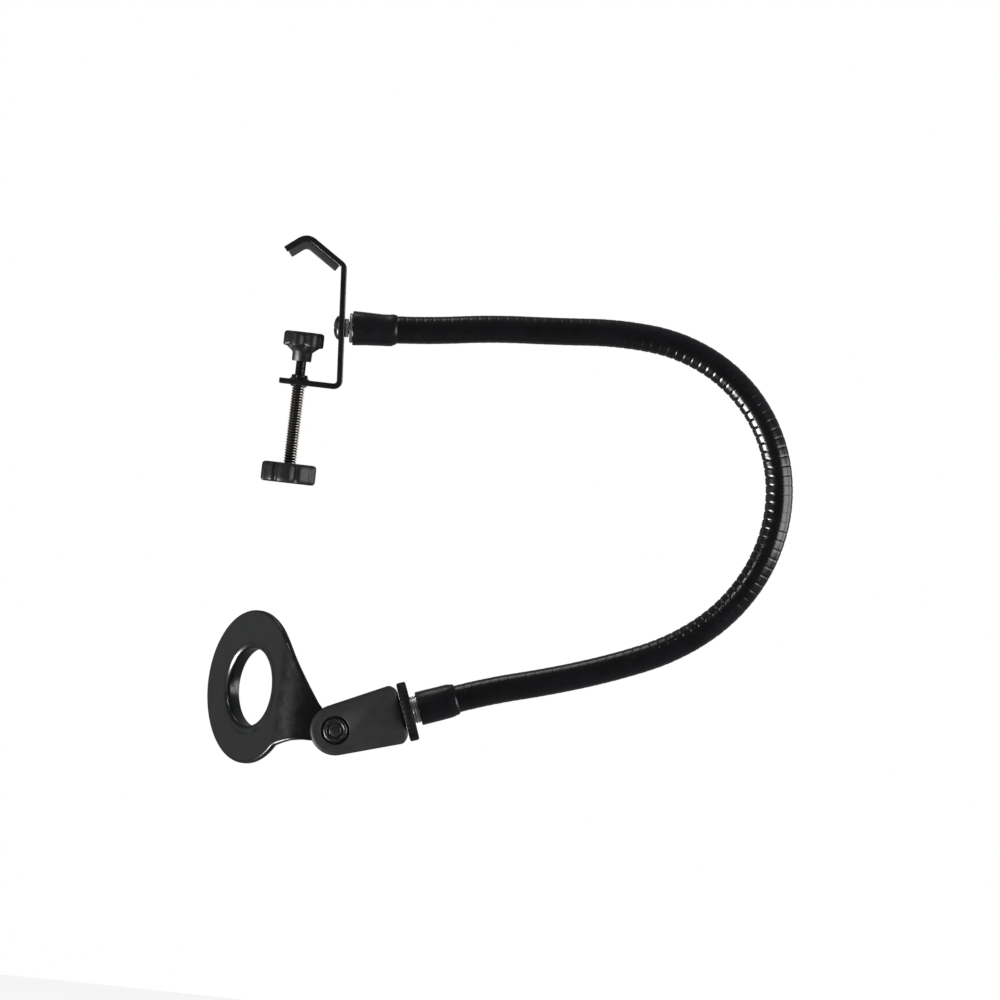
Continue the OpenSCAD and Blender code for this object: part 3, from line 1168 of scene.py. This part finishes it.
@dataclass
class Gooseneck:
    """The ribbed vinyl skin over the wound steel, in lengths that each lie across one of the neck's joints.

    In the tight middle of the curl each link has its own length instead, and a round band fills each joint.

    Attributes:
        route: the line that the neck follows.
        radius: radius over the ribs.
        inner: inner radius of the skin.
        ribs_per_link: ribs in one link's length.
        groove: depth of the grooves where the neck is straight.
        fold: extra depth on the inside of the tightest bend.
        stretch: extra depth on the outside of the tightest bend.
        rings: rings of points in one rib.
        around: points round one ring.
        curl: first and last joint of the tight middle.
        band: outer and inner radius of the bands at those joints.
        tightest: bend of a link that gives the full fold and stretch, in degrees.
        crease: power that narrows the grooves; a lower one widens them.
        crease_opening: how much of that power the inside of a tight bend loses.
        uneven: how much the ribs' radii vary.
        blend_reach: how far a blend runs from its joint, as a share of a link.
    """

    route: NeckRoute = field(default_factory=NeckRoute)
    radius: float = 6.85
    inner: float = 5.7
    ribs_per_link: int = 7
    groove: float = 0.09
    fold: float = 0.42
    stretch: float = 0.10
    rings: int = 14
    around: int = 48
    curl: tuple[int, int] = (4, 9)
    band: Point = (6.3, 5.66)
    tightest: float = 24
    crease: float = 30
    crease_opening: float = 8
    uneven: float = 0.035
    blend_reach: float = 0.36

    def surface(self, distance: float, inside: float) -> float:
        """Radius of the skin.

        Args:
            distance: how far along the neck.
            inside: 1 on the inside of the bend, -1 on the outside.

        Returns:
            The radius, lowest in the grooves between the ribs.
        """
        rib = self.route.link / self.ribs_per_link
        tight = min(1.0, self.route.bend_at(distance) / self.tightest)
        power = self.crease - self.crease_opening * max(0.0, tight * inside)
        trough = abs(math.cos(math.pi * distance / rib)) ** power
        squeezed = max(0.0, tight * inside) ** 1.5
        stretched = max(0.0, -tight * inside)
        depth = self.groove + self.fold * squeezed + self.stretch * stretched
        uneven = self.uneven * math.sin(7.3 * math.floor(distance / rib + 0.02)) * (1 - trough)
        return self.radius - trough * depth - abs(uneven)

    def skin(self, start: float, end: float) -> Shape:
        """A length of skin, drawn straight and then laid along the route.

        Args:
            start: where it starts along the neck.
            end: where it ends.

        Returns:
            The closed tube in place.
        """
        ribs = round((end - start) * self.ribs_per_link / self.route.link * 2) / 2
        count = round(ribs * self.rings)
        spots = [start + (end - start) * k / count for k in range(count + 1)]
        plain = spots[::self.rings // 2] if count % (self.rings // 2) == 0 else [start, end]
        outline = [(self.radius, s) for s in spots] + [(self.inner, s) for s in reversed(plain)]
        tube = Shape.lathe(outline, closed=True, steps=self.around)
        return tube.reshape(self.laid)

    def laid(self, at: Vector) -> Vector:
        """Where a point of the straight tube goes on the route.

        Args:
            at: a point of the straight tube.

        Returns:
            The point in the row frame.
        """
        place, heading = self.route.at(at.z)
        forward = Vector((math.cos(heading), 0, math.sin(heading)))
        down = ACROSS.cross(forward)
        angle = math.atan2(at.y, at.x)
        radius = math.hypot(at.x, at.y)
        if radius > (self.radius + self.inner) / 2:
            radius = self.surface(at.z, math.cos(angle))
        return place + (down * math.cos(angle) + ACROSS * math.sin(angle)) * radius

    def build(self) -> None:
        """Make a length of skin for each joint outside the curl, and for each link inside it."""
        joints = len(self.route.bends) - 1
        first, last = self.curl
        for k in list(range(1, first)) + list(range(last + 1, joints + 1)):
            start = 0 if k == 1 else k - 0.5
            end = joints + 1 if k == joints else k + 0.5
            name = f"neck_skin_{k}"
            made = bare_piece(name, self.skin(start * self.route.link, end * self.route.link).mesh(name),
                              VINYL)
            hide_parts(f"neck_cover_{k if k < first else k + 1}")
            self.blend(made, k)
            log.info("%s: %d faces between neck_%d and neck_%d", name, len(made.data.polygons), k, k + 1)
        for link in range(first, last + 2):
            start, end = max(link - 1, first - 0.5), min(link, last + 0.5)
            skin = self.skin(start * self.route.link, end * self.route.link)
            skin.piece(f"neck_link_skin_{link}", VINYL, f"neck_{link}", [f"neck_cover_{link}"])
        for k in range(first, last + 1):
            self.build_band(k)

    def build_band(self, k: int) -> None:
        """Turn the round band that shows when the skins part at joint k.

        Args:
            k: the joint's number.
        """
        big, small = self.band
        spread = math.acos(small / big)
        outline = [(big * math.cos(a), big * math.sin(a)) for a in (spread * (i / 8 - 1) for i in range(17))]
        place, heading = self.route.at(k * self.route.link)
        forward = Vector((math.cos(heading), 0, math.sin(heading)))
        band = Shape.lathe(outline, closed=True, steps=self.around).move(seat(place, forward))
        band.piece(f"neck_band_{k}", VINYL, f"neck_{k}")

    def blend(self, piece: bpy.types.Object, k: int) -> None:
        """Bake a length of skin's place into its mesh at joint k; nothing bends it.

        Args:
            piece: the length of skin.
            k: the joint's number.
        """
        reach = self.blend_reach * self.route.link
        before, after = (self.route.at(k * self.route.link + d)[0] * MM for d in (-reach, reach))
        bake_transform(piece)


# ---------------------------------------------------------------- lower end


@dataclass
class ArmEnd:
    """The sleeve, the threaded stud and the lock ring where the gooseneck ends.

    Attributes:
        sleeve: length of the sleeve.
        thread_showing: length of stud between the sleeve and the lock ring.
        stud_in: length of stud inside the fork.
        reach: distance from the neck's end to the tilt bolt.
        crest: radius at the stud's crests.
        root: radius at its roots.
        pitch: rise of the stud's thread in one turn.
        ring_radius: radius of the lock ring.
        ring_thick: thickness of the lock ring.
        notches: notches round the lock ring.
    """

    sleeve: float = 19.8
    thread_showing: float = 3.2
    stud_in: float = 14
    reach: float = 62.7
    crest: float = 7
    root: float = 6.4
    pitch: float = 1.25
    ring_radius: float = 15
    ring_thick: float = 4.7
    notches: int = 36

    def station(self, distance: float) -> Matrix:
        """Put a shape's Z axis on the arm's end, its origin at a distance from the neck's end."""
        swivel, tilt = Hinge.named("clevis_swivel"), Hinge.named("holder_tilt")
        return seat(tilt.at - swivel.axis * (self.reach - distance), swivel.axis)

    def build(self) -> None:
        """Build the three pieces."""
        lock = self.sleeve + self.thread_showing
        outline = [(6.6, 0.5), (6.8, -0.2), (7.3, 0), (7.7, 0.5), (7.9, 1.3), (8.0, 2.2), (8.3, 3.2),
                   (8.4, 5), (8.45, 9),
                   (8.5, 14), (8.5, self.sleeve - 0.7), (8.4, self.sleeve - 0.2), (8.1, self.sleeve),
                   (7.05, self.sleeve),
                   (6.9, 10)]
        sleeve = Shape.lathe(outline, closed=True, steps=96).reshape(self.wrinkled).move(self.station(0))
        sleeve.piece("lower_shrink_sleeve", SLEEVE, Body.ARM_END, ["lower_sleeve"])
        end = lock + self.ring_thick + 0.3 + self.stud_in
        stud = Shape.thread(self.crest, self.root, self.pitch, 10, end, steps=48).move(self.station(0))
        stud.piece("stud_thread", ZINC, Body.ARM_END, ["threaded_stud"])
        self.build_lock(lock)

    def wrinkled(self, at: Vector) -> Vector:
        """Shallow lengthwise folds where the sleeve grips the neck.

        Args:
            at: a point of the turned sleeve.

        Returns:
            The point, moved outwards.
        """
        radius = math.hypot(at.x, at.y)
        if radius < 7.6:
            return at
        fade = 1 - eased(at.z, 3, 16)
        grown = 1 + 0.07 * fade * math.sin(9 * math.atan2(at.y, at.x) + at.z * 0.6) / radius
        return Vector((at.x * grown, at.y * grown, at.z))

    def build_lock(self, start: float) -> None:
        """Turn the lock ring, with notches round its edge.

        Args:
            start: where the ring starts, from the neck's end.
        """
        big, thick = self.ring_radius, self.ring_thick
        outline = [(7.05, 0.4), (7.4, 0), (big - 1.0, 0), (big - 0.3, 0.2), (big, 0.8), (big, thick - 0.8),
                   (big - 0.3, thick - 0.2), (big - 1.0, thick), (7.4, thick), (7.05, thick - 0.4)]
        notches = Lobes(self.notches, 0.22, 3, 0, 0)
        ring = Shape.lathe(outline, closed=True, steps=self.notches * 8)
        notches.cut(ring, big, big - 1.4, thick / 2).move(self.station(start))
        ring.piece("lock_ring_notched", LOCK_PLASTIC, Body.LOCK, ["lock_ring"])


@dataclass
class Clevis:
    """The moulded fork with its tilt bolt and nut.

    Attributes:
        nose: width at the bolt.
        back: width at the lock ring.
        thick: thickness across both cheeks.
        slot: width between the cheeks.
        slot_floor: how far the slot runs behind the bolt.
        corner: how much the back corners are clipped.
        fillet: radius of the outer edges.
        recess: radius and depth of the recess for the bolt's ends.
        bolt: radius of the bolt.
        stud: radius of the bore for the stud.
        stud_room: depth of that bore.
        length: distance from the bolt to the back.
    """

    nose: float = 25.2
    back: float = 29.8
    thick: float = 23
    slot: float = 8
    slot_floor: float = 11
    corner: float = 3
    fillet: float = 1.7
    recess: Point = (7.2, 2.4)
    bolt: float = 2.5
    stud: float = 7.05
    stud_room: float = 15
    length: float = 34.7

    def __post_init__(self) -> None:
        """Find the clevis's own axes: X from the bolt to the lock ring, Z along the bolt to the front."""
        swivel, tilt = Hinge.named("clevis_swivel"), Hinge.named("holder_tilt")
        back = -swivel.axis
        front = -ACROSS
        side = front.cross(back)
        self.frame = Matrix.Translation(tilt.at) @ Matrix((back, side, front)).transposed().to_4x4()

    def outline(self) -> list[Point]:
        """Side outline: a round nose, straight flanks and clipped back corners.

        Returns:
            Corners in the clevis's own XY.
        """
        half, back = self.back / 2, self.length
        taper = math.asin((self.back - self.nose) / 2 / back)
        arc = [math.pi / 2 + taper + k * (math.pi - 2 * taper) / 28 for k in range(29)]
        nose = [(self.nose / 2 * math.cos(a), self.nose / 2 * math.sin(a)) for a in arc]
        corners = [(back - self.corner, -half), (back, self.corner - half), (back, half - self.corner),
                   (back - self.corner, half)]
        return nose + corners

    def build_fork(self) -> None:
        """Mould the fork: a filleted block with its slot, recesses and bores cut out."""
        half = self.thick / 2
        lift = Matrix.Translation((0, 0, -half))
        block = Shape.block(self.outline(), self.thick).move(lift).soften(self.fillet, 6, 30).move(self.frame)
        fork = block.piece("moulded_fork", FORK, Body.CLEVIS, ["clevis"])
        gap = self.slot / 2
        wide = self.back
        mouth = [(-wide, -gap - 0.0), (self.slot_floor - 2, -gap), (self.slot_floor, -gap + 2),
                 (self.slot_floor, gap - 2),
                 (self.slot_floor - 2, gap), (-wide, gap)]
        upright = Matrix.Rotation(math.pi / 2, 4, "X")
        slot = Shape.block(rounded(mouth, 1.5), 2 * wide).move(self.frame @ Matrix.Translation((0, wide,
                                                                                                0)) @ upright)
        bore = Shape.lathe([(0, -half - 1), (self.bolt + 0.1, -half - 1), (self.bolt + 0.1, half + 1),
                            (0, half + 1)])
        radius, depth = self.recess
        pocket = [(0, half - depth), (radius - 0.4, half - depth), (radius, half - depth + 0.4),
                  (radius, half - 0.35),
                  (radius + 0.12, half - 0.12), (radius + 0.45, half + 0.05), (radius + 1.2, half + 0.4),
                  (0, half + 0.4)]
        flip = Matrix.Rotation(math.pi, 4, "X")
        near, far = Shape.lathe(pocket, steps=72), Shape.lathe(pocket, steps=72).move(flip)
        along = Matrix.Rotation(math.pi / 2, 4, "Y")
        room = Shape.lathe([(0, self.length - self.stud_room), (self.stud, self.length - self.stud_room),
                            (self.stud, self.length + 1), (0, self.length + 1)]).move(along)
        cutters = [slot] + [shape.move(self.frame) for shape in (bore, near, far, room)]
        carve(fork, cutters)
        fork.data.shade_smooth()
        fork.data.set_sharp_from_angle(angle=math.radians(38))

    def build_bolt(self) -> None:
        """Turn the bolt: a head sunk in the far cheek, and a shank with a six-sided tip."""
        seat_z = self.thick / 2 - self.recess[1]
        shank = [(0, -seat_z - 2.2), (4.9, -seat_z - 2.2), (5.7, -seat_z - 1.9), (6.2, -seat_z - 1.2),
                 (6.2, -seat_z),
                 (self.bolt, -seat_z), (self.bolt, seat_z + 0.6), (0, seat_z + 0.6)]
        Shape.lathe(shank).move(self.frame).piece("tilt_bolt_shank", BLACK_STEEL, Body.CLEVIS, ["tilt_bolt"])
        hexagon = [(3.45 * math.cos(math.tau * k / 6 + 0.25),
                    3.45 * math.sin(math.tau * k / 6 + 0.25)) for k in range(6)]
        tip = Shape.block(hexagon, 2.0).soften(0.4, 3).move(self.frame @ Matrix.Translation((0, 0,
                                                                                             seat_z + 0.25)))
        tip.piece("bolt_hex_tip", BLACK_STEEL, Body.CLEVIS)

    def build_nut(self) -> None:
        """Turn the collar that holds the bolt's tip, with a groove in its face."""
        seat_z = self.thick / 2 - self.recess[1]
        top = seat_z + 2.2
        outline = [(2.55, seat_z), (6.1, seat_z), (6.2, seat_z + 0.2), (6.2, top - 0.75), (6.0, top - 0.3),
                   (5.5, top),
                   (4.7, top), (4.35, top - 0.15), (4.15, top - 0.5), (4.05, top - 1.3), (2.55, top - 1.3)]
        nut = Shape.lathe(outline, closed=True, steps=72).move(self.frame)
        nut.piece("bolt_collar_nut", BLACK_STEEL, Body.CLEVIS, ["bolt_nut"])

    def build(self) -> None:
        """Build the fork and its bolt."""
        self.build_fork()
        self.build_bolt()
        self.build_nut()


@dataclass
class RingHolder:
    """The flared ring with its bent tongue and the eye at the tilt bolt, moulded in one.

    Attributes:
        radius: outer radius of the ring.
        hole: radius of the hole.
        thick: thickness of the plate.
        throat: how far the throat stands out behind the plate's middle.
        turn: turn of the ring's face to the front, in degrees.
        reach: distance of the ring's centre in front of the bolt.
        rise: height of the ring's centre over the bolt.
        set_back: how far the ring's centre stands behind the tongue.
        bend: radius of the bend between ring and tongue.
        lip: radius of the hole's rounded lip, where the flat face starts.
        eye: radius of the eye.
        eye_thick: its thickness.
        edge: width of the rim that keeps its shape when the outline is drawn out.
    """

    radius: float = 38.6
    hole: float = 19.5
    thick: float = 3
    throat: float = 6
    turn: float = 33.9
    reach: float = 44.8
    rise: float = 16.2
    set_back: float = 30
    bend: float = 20
    lip: float = 22.8
    eye: float = 9.5
    eye_thick: float = 7.4
    edge: float = 3

    def __post_init__(self) -> None:
        """Find the ring's centre, its face's directions, and where the bend starts and ends."""
        angle = math.radians(self.turn)
        self.bolt = Hinge.named("holder_tilt").at
        self.centre = self.bolt + Vector((-self.reach, self.set_back, self.rise))
        self.along = Vector((math.sin(angle), -math.cos(angle), 0))
        self.front = Vector((-math.cos(angle), -math.sin(angle), 0))
        self.swing = math.pi / 2 - angle
        self.bend_start = self.set_back / math.cos(angle) - self.bend * math.tan(self.swing / 2)
        self.bend_end = self.bend_start + self.bend * self.swing
        self.axle = self.centre + self.along * self.bend_start - self.front * self.bend
        self.eye_at = self.bend_end + self.bolt.x - (self.axle.x)

    def outline(self) -> list[Vector]:
        """The flat plate's outline before it is bent: the ring's arc, then the tongue.

        Returns:
            Corners from the ring's centre.
        """
        tip = self.eye_at - 4.4
        low = -self.rise - 6.6
        leave, join = math.radians(34.6), math.radians(-45.7)
        arc = [leave + (math.tau + join - leave) * k / 120 for k in range(121)]
        ring = [Vector((self.radius * math.cos(a), self.radius * math.sin(a))) for a in arc]
        tongue = [tuple(ring[-1]), (32.0, -25.7), (37.0, -23.9), (43.0, -22.9), (tip - 2, low),
                  (tip, low + 3),
                  (tip, -self.rise + 3), (tip - 1.6, -self.rise + 8.6), (self.eye_at - 9.3, -4.4),
                  tuple(ring[0])]
        return ring + [Vector(p) for p in rounded(tongue, 14, steps=6)[1:-1]]

    def reach_at(self, edge: Sequence[Vector], angle: float) -> float:
        """Distance from the ring's centre to the outline in a direction.

        Args:
            edge: the outline's corners.
            angle: the direction, in radians.

        Returns:
            The distance, never less than the radius.
        """
        ray = Vector((math.cos(angle), math.sin(angle)))
        best = self.radius
        for first, second in zip(edge, list(edge[1:]) + [edge[0]]):
            side = second - first
            slant = ray.x * side.y - ray.y * side.x
            if abs(slant) < 1e-9:
                continue
            share = (ray.y * first.x - ray.x * first.y) / slant
            span = (first.x * side.y - first.y * side.x) / slant
            if -1e-6 <= share <= 1 + 1e-6 and span > 0:
                best = max(best, span)
        return best

    def half_section(self) -> list[Point]:
        """Half section of the plain ring: throat, rounded lip, face, rounded rim and back.

        Returns:
            Radii and heights over the plate's middle.
        """
        half, hole, lip, rim = self.thick / 2, self.hole, self.lip, self.radius
        throat = [(hole + 0.9, -half - self.throat + 1.5), (hole + 0.25, -half - self.throat + 1.7),
                  (hole, -half - self.throat + 2.3), (hole, -half), (hole + 0.1, -half + 0.9)]
        rounding = [(hole + (lip - hole) * (1 - math.cos(a)), half + 0.25 - 2.3 * (1 - math.sin(a)))
                    for a in (0.35, 0.6, 0.85, 1.1, 1.35, 1.57)]
        face = [(lip + 0.5, half + 0.16), (lip + 1.2, half + 0.02)]
        steps = 22
        start, end = lip + 1.2, rim - self.edge
        top = [(start + (end - start) * k / steps, half) for k in range(1, steps + 1)]
        edge = [(rim - 1.9, half), (rim - 1.1, half + 0.02), (rim - 0.55, half - 0.1),
                (rim - 0.18, half - 0.4),
                (rim, half - 0.85), (rim, -half + 0.6), (rim - 0.2, -half + 0.2), (rim - 0.6, -half)]
        under = [(end + (start - end) * k / steps, -half) for k in range(steps + 1)]
        wall = [(lip + 0.2, -half - 0.3), (lip - 0.2, -half - 0.9), (lip - 0.4, -half - self.throat + 2.4),
                (lip - 0.6, -half - self.throat + 1.7), (lip - 1.1, -half - self.throat + 1.5)]
        return throat + rounding + face + top + edge + under + wall

    def build_plate(self) -> None:
        """Turn the ring, draw its edge out to the tongue's outline, and bend the tongue to the bolt."""
        around = 288
        edge = self.outline()
        reach = [self.reach_at(edge, math.tau * k / around) for k in range(around)]
        inner, fixed = self.lip + 1.2, self.radius - self.edge

        def drawn(at: Vector) -> Vector:
            """Stretch a point of the plain ring to the outline, then bend it."""
            radius, angle = math.hypot(at.x, at.y), math.atan2(at.y, at.x)
            far = reach[round(angle / math.tau * around) % around]
            if radius > fixed:
                radius += far - self.radius
            elif radius > inner:
                radius = inner + (radius - inner) * (far - self.edge - inner) / (fixed - inner)
            return self.bent(radius * math.cos(angle), radius * math.sin(angle), at.z)

        plate = Shape.lathe(self.half_section(), closed=True, steps=around).reshape(drawn)
        plate.piece("flared_ring_plate", RING, Body.HOLDER, ["ring_holder"])

    def bent(self, across: float, up: float, lift: float) -> Vector:
        """Where a point of the flat plate goes when the tongue is bent.

        Args:
            across: distance from the ring's centre towards the tongue.
            up: height over the ring's centre.
            lift: distance in front of the plate's middle.

        Returns:
            The point in the row's axes.
        """
        if across <= self.bend_start:
            return self.centre + self.along * across + self.front * lift + UP * up
        angle = min(across - self.bend_start, self.bend_end - self.bend_start) / self.bend
        spoke = self.front * math.cos(angle) + self.along * math.sin(angle)
        past = max(0.0, across - self.bend_end)
        return self.axle + spoke * (self.bend + lift) + Vector((past, 0, up))

    def build_eye(self) -> None:
        """Turn the eye that the bolt passes through."""
        half, big = self.eye_thick / 2, self.eye
        outline = [(2.55, -half + 0.3), (2.85, -half), (big - 0.7, -half), (big - 0.2, -half + 0.2),
                   (big, -half + 0.7),
                   (big, half - 0.7), (big - 0.2, half - 0.2), (big - 0.7, half), (2.85, half),
                   (2.55, half - 0.3)]
        eye = Shape.lathe(outline, closed=True).move(seat(self.bolt, ACROSS, UP))
        eye.piece("holder_eye", RING, Body.HOLDER)

    def build(self) -> None:
        """Build the ring's plate and the eye."""
        self.build_plate()
        self.build_eye()


# ---------------------------------------------------------------- dressing and studio


@dataclass(frozen=True)
class Studio:
    """A white studio: a pale floor, soft lights and the camera.

    Attributes:
        roll: turn of the picture about the line of sight, in degrees.
        aim: the point in the middle of the picture, along X and Z.
        width: width of the picture at the arm's plane, in metres.
        lens: focal length.
        sensor: width of the sensor.
        walls: brightness of the studio's walls, as the object mirrors them.
        front: brightness of the wall behind the camera.
        floor_drop: how far the floor lies under the object, in metres.
        floor_radius: radius of the floor, in metres.
    """

    roll: float = 6.6
    aim: Point = (0.1066, -0.1135)
    width: float = 0.5
    lens: float = 500
    sensor: float = 36
    walls: float = 0.2
    front: float = 0.11
    floor_drop: float = 0.14
    floor_radius: float = 0.62

    def camera(self) -> None:
        """Stand the camera square to the arm's plane."""
        data = bpy.data.cameras.new("camera")
        data.lens, data.sensor_width = self.lens, self.sensor
        data.clip_end = 50
        made = bpy.data.objects.new("camera", data)
        bpy.context.collection.objects.link(made)
        distance = self.width * self.lens / self.sensor
        level = Matrix.Rotation(math.pi / 2, 4, "X")
        roll = Matrix.Rotation(math.radians(-self.roll), 4, "Y")
        made.matrix_world = Matrix.Translation((self.aim[0], -distance, self.aim[1])) @ roll @ level
        bpy.context.scene.camera = made

    def light(self, name: str, at: Sequence[float], size: Point, power: float,
              shine_only: bool = False) -> None:
        """A soft box that faces the middle of the object.

        Args:
            name: its name.
            at: where it stands, from the aim point, in metres.
            size: its width and height.
            power: in watts.
            shine_only: whether it shows in highlights but lights nothing else.
        """
        data = bpy.data.lights.new(name, "AREA")
        data.shape, data.size, data.size_y, data.energy = "RECTANGLE", size[0], size[1], power
        made = bpy.data.objects.new(name, data)
        made.visible_camera = False
        made.visible_diffuse = not shine_only
        bpy.context.collection.objects.link(made)
        aim = Vector((self.aim[0], 0, self.aim[1]))
        made.location = aim + Vector(at)
        made.rotation_euler = (-Vector(at)).to_track_quat("-Z", "Y").to_euler()

    def world(self) -> None:
        """White behind the object, and a dimmer grey for what it mirrors."""
        made = bpy.data.worlds.new("white_studio")
        bpy.context.scene.world = made
        made.use_nodes = True
        tree = made.node_tree
        tree.nodes.clear()
        rays, mix = tree.nodes.new("ShaderNodeLightPath"), tree.nodes.new("ShaderNodeMixShader")
        seen, lit = tree.nodes.new("ShaderNodeBackground"), tree.nodes.new("ShaderNodeBackground")
        seen.inputs["Color"].default_value = (1, 1, 1, 1)
        lit.inputs["Color"].default_value = (0.95, 0.98, 1, 1)
        facing, dimmed = tree.nodes.new("ShaderNodeVectorMath"), tree.nodes.new("ShaderNodeMapRange")
        facing.operation = "DOT_PRODUCT"
        facing.inputs[1].default_value = (0, -1, 0)
        for name, number in (("From Min", 0.2), ("From Max", 0.9), ("To Min", self.walls),
                             ("To Max", self.front)):
            dimmed.inputs[name].default_value = number
        tree.links.new(tree.nodes.new("ShaderNodeTexCoord").outputs["Generated"], facing.inputs[0])
        tree.links.new(facing.outputs["Value"], dimmed.inputs["Value"])
        tree.links.new(dimmed.outputs["Result"], lit.inputs["Strength"])
        tree.links.new(rays.outputs["Is Camera Ray"], mix.inputs[0])
        tree.links.new(lit.outputs[0], mix.inputs[1])
        tree.links.new(seen.outputs[0], mix.inputs[2])
        tree.links.new(mix.outputs[0], tree.nodes.new("ShaderNodeOutputWorld").inputs[0])

    def floor(self) -> None:
        """A pale floor under the object."""
        low = CAD_BOX[0].z - self.floor_drop
        bm = bmesh.new()
        bmesh.ops.create_circle(bm, cap_ends=True, segments=96, radius=self.floor_radius)
        bmesh.ops.translate(bm, vec=(self.aim[0], 0, low), verts=bm.verts[:])
        data = bpy.data.meshes.new("pale_floor")
        bm.to_mesh(data)
        bm.free()
        made = bpy.data.objects.new("pale_floor", data)
        bpy.context.collection.objects.link(made)
        board = NodeBoard("pale_floor_finish")
        board.join(board.blended(board.noise(3, 2), (0.88, 0.88, 0.88), (0.93, 0.93, 0.93)),
                   board.shader.inputs["Base Color"])
        board.shader.inputs["Roughness"].default_value = 0.9
        board.shader.inputs["Emission Color"].default_value = (1, 1, 1, 1)
        board.shader.inputs["Emission Strength"].default_value = 0.6
        data.materials.append(board.material)
        made.visible_shadow = made.visible_glossy = made.visible_diffuse = False

    def build(self) -> None:
        """Set up the whole studio."""
        bpy.context.scene.view_settings.view_transform = "Standard"
        self.camera()
        self.world()
        self.floor()
        self.light("low_left_lamp", (-1.34, -0.50, -0.92), (1.0, 0.75), 95, shine_only=True)
        self.light("high_left_box", (-1.16, -0.98, 0.68), (0.3, 0.3), 4, shine_only=True)
        self.light("right_box", (1.55, -0.72, 0.05), (1.25, 0.9), 23)
        self.light("right_back_box", (1.62, 0.45, 0.05), (0.9, 0.9), 9, shine_only=True)
        self.light("left_panel", (-1.62, 0.60, 0.1), (0.8, 0.7), 0.45, shine_only=True)
        self.light("top_box", (-0.6, 0.25, 1.6), (0.9, 0.5), 4)


def dress_nodes() -> None:
    """Give every plain node that stays in view a finish: the wound steel inside the neck."""
    for name, node in frame["nodes"].items():
        finish = COIL if name.startswith("neck_coil_") else BLACK_STEEL
        if not node.hide_render:
            node.data.materials.clear()
            node.data.materials.append(finish.material())
            log.info("%s: plain node in %s", name, finish.slot)


def main() -> None:
    """Build the clamp, the arm and the ring holder in order, then the studio."""
    logging.basicConfig(level=logging.INFO, format="%(name)s %(message)s")
    for part in (ClampBracket(), ClampScrew(), ArmStart(), Gooseneck(), ArmEnd(), Clevis(), RingHolder()):
        log.info("building %s", type(part).__name__)
        part.build()
    dress_nodes()
    Studio().build()


if __name__ == "__main__":
    main()
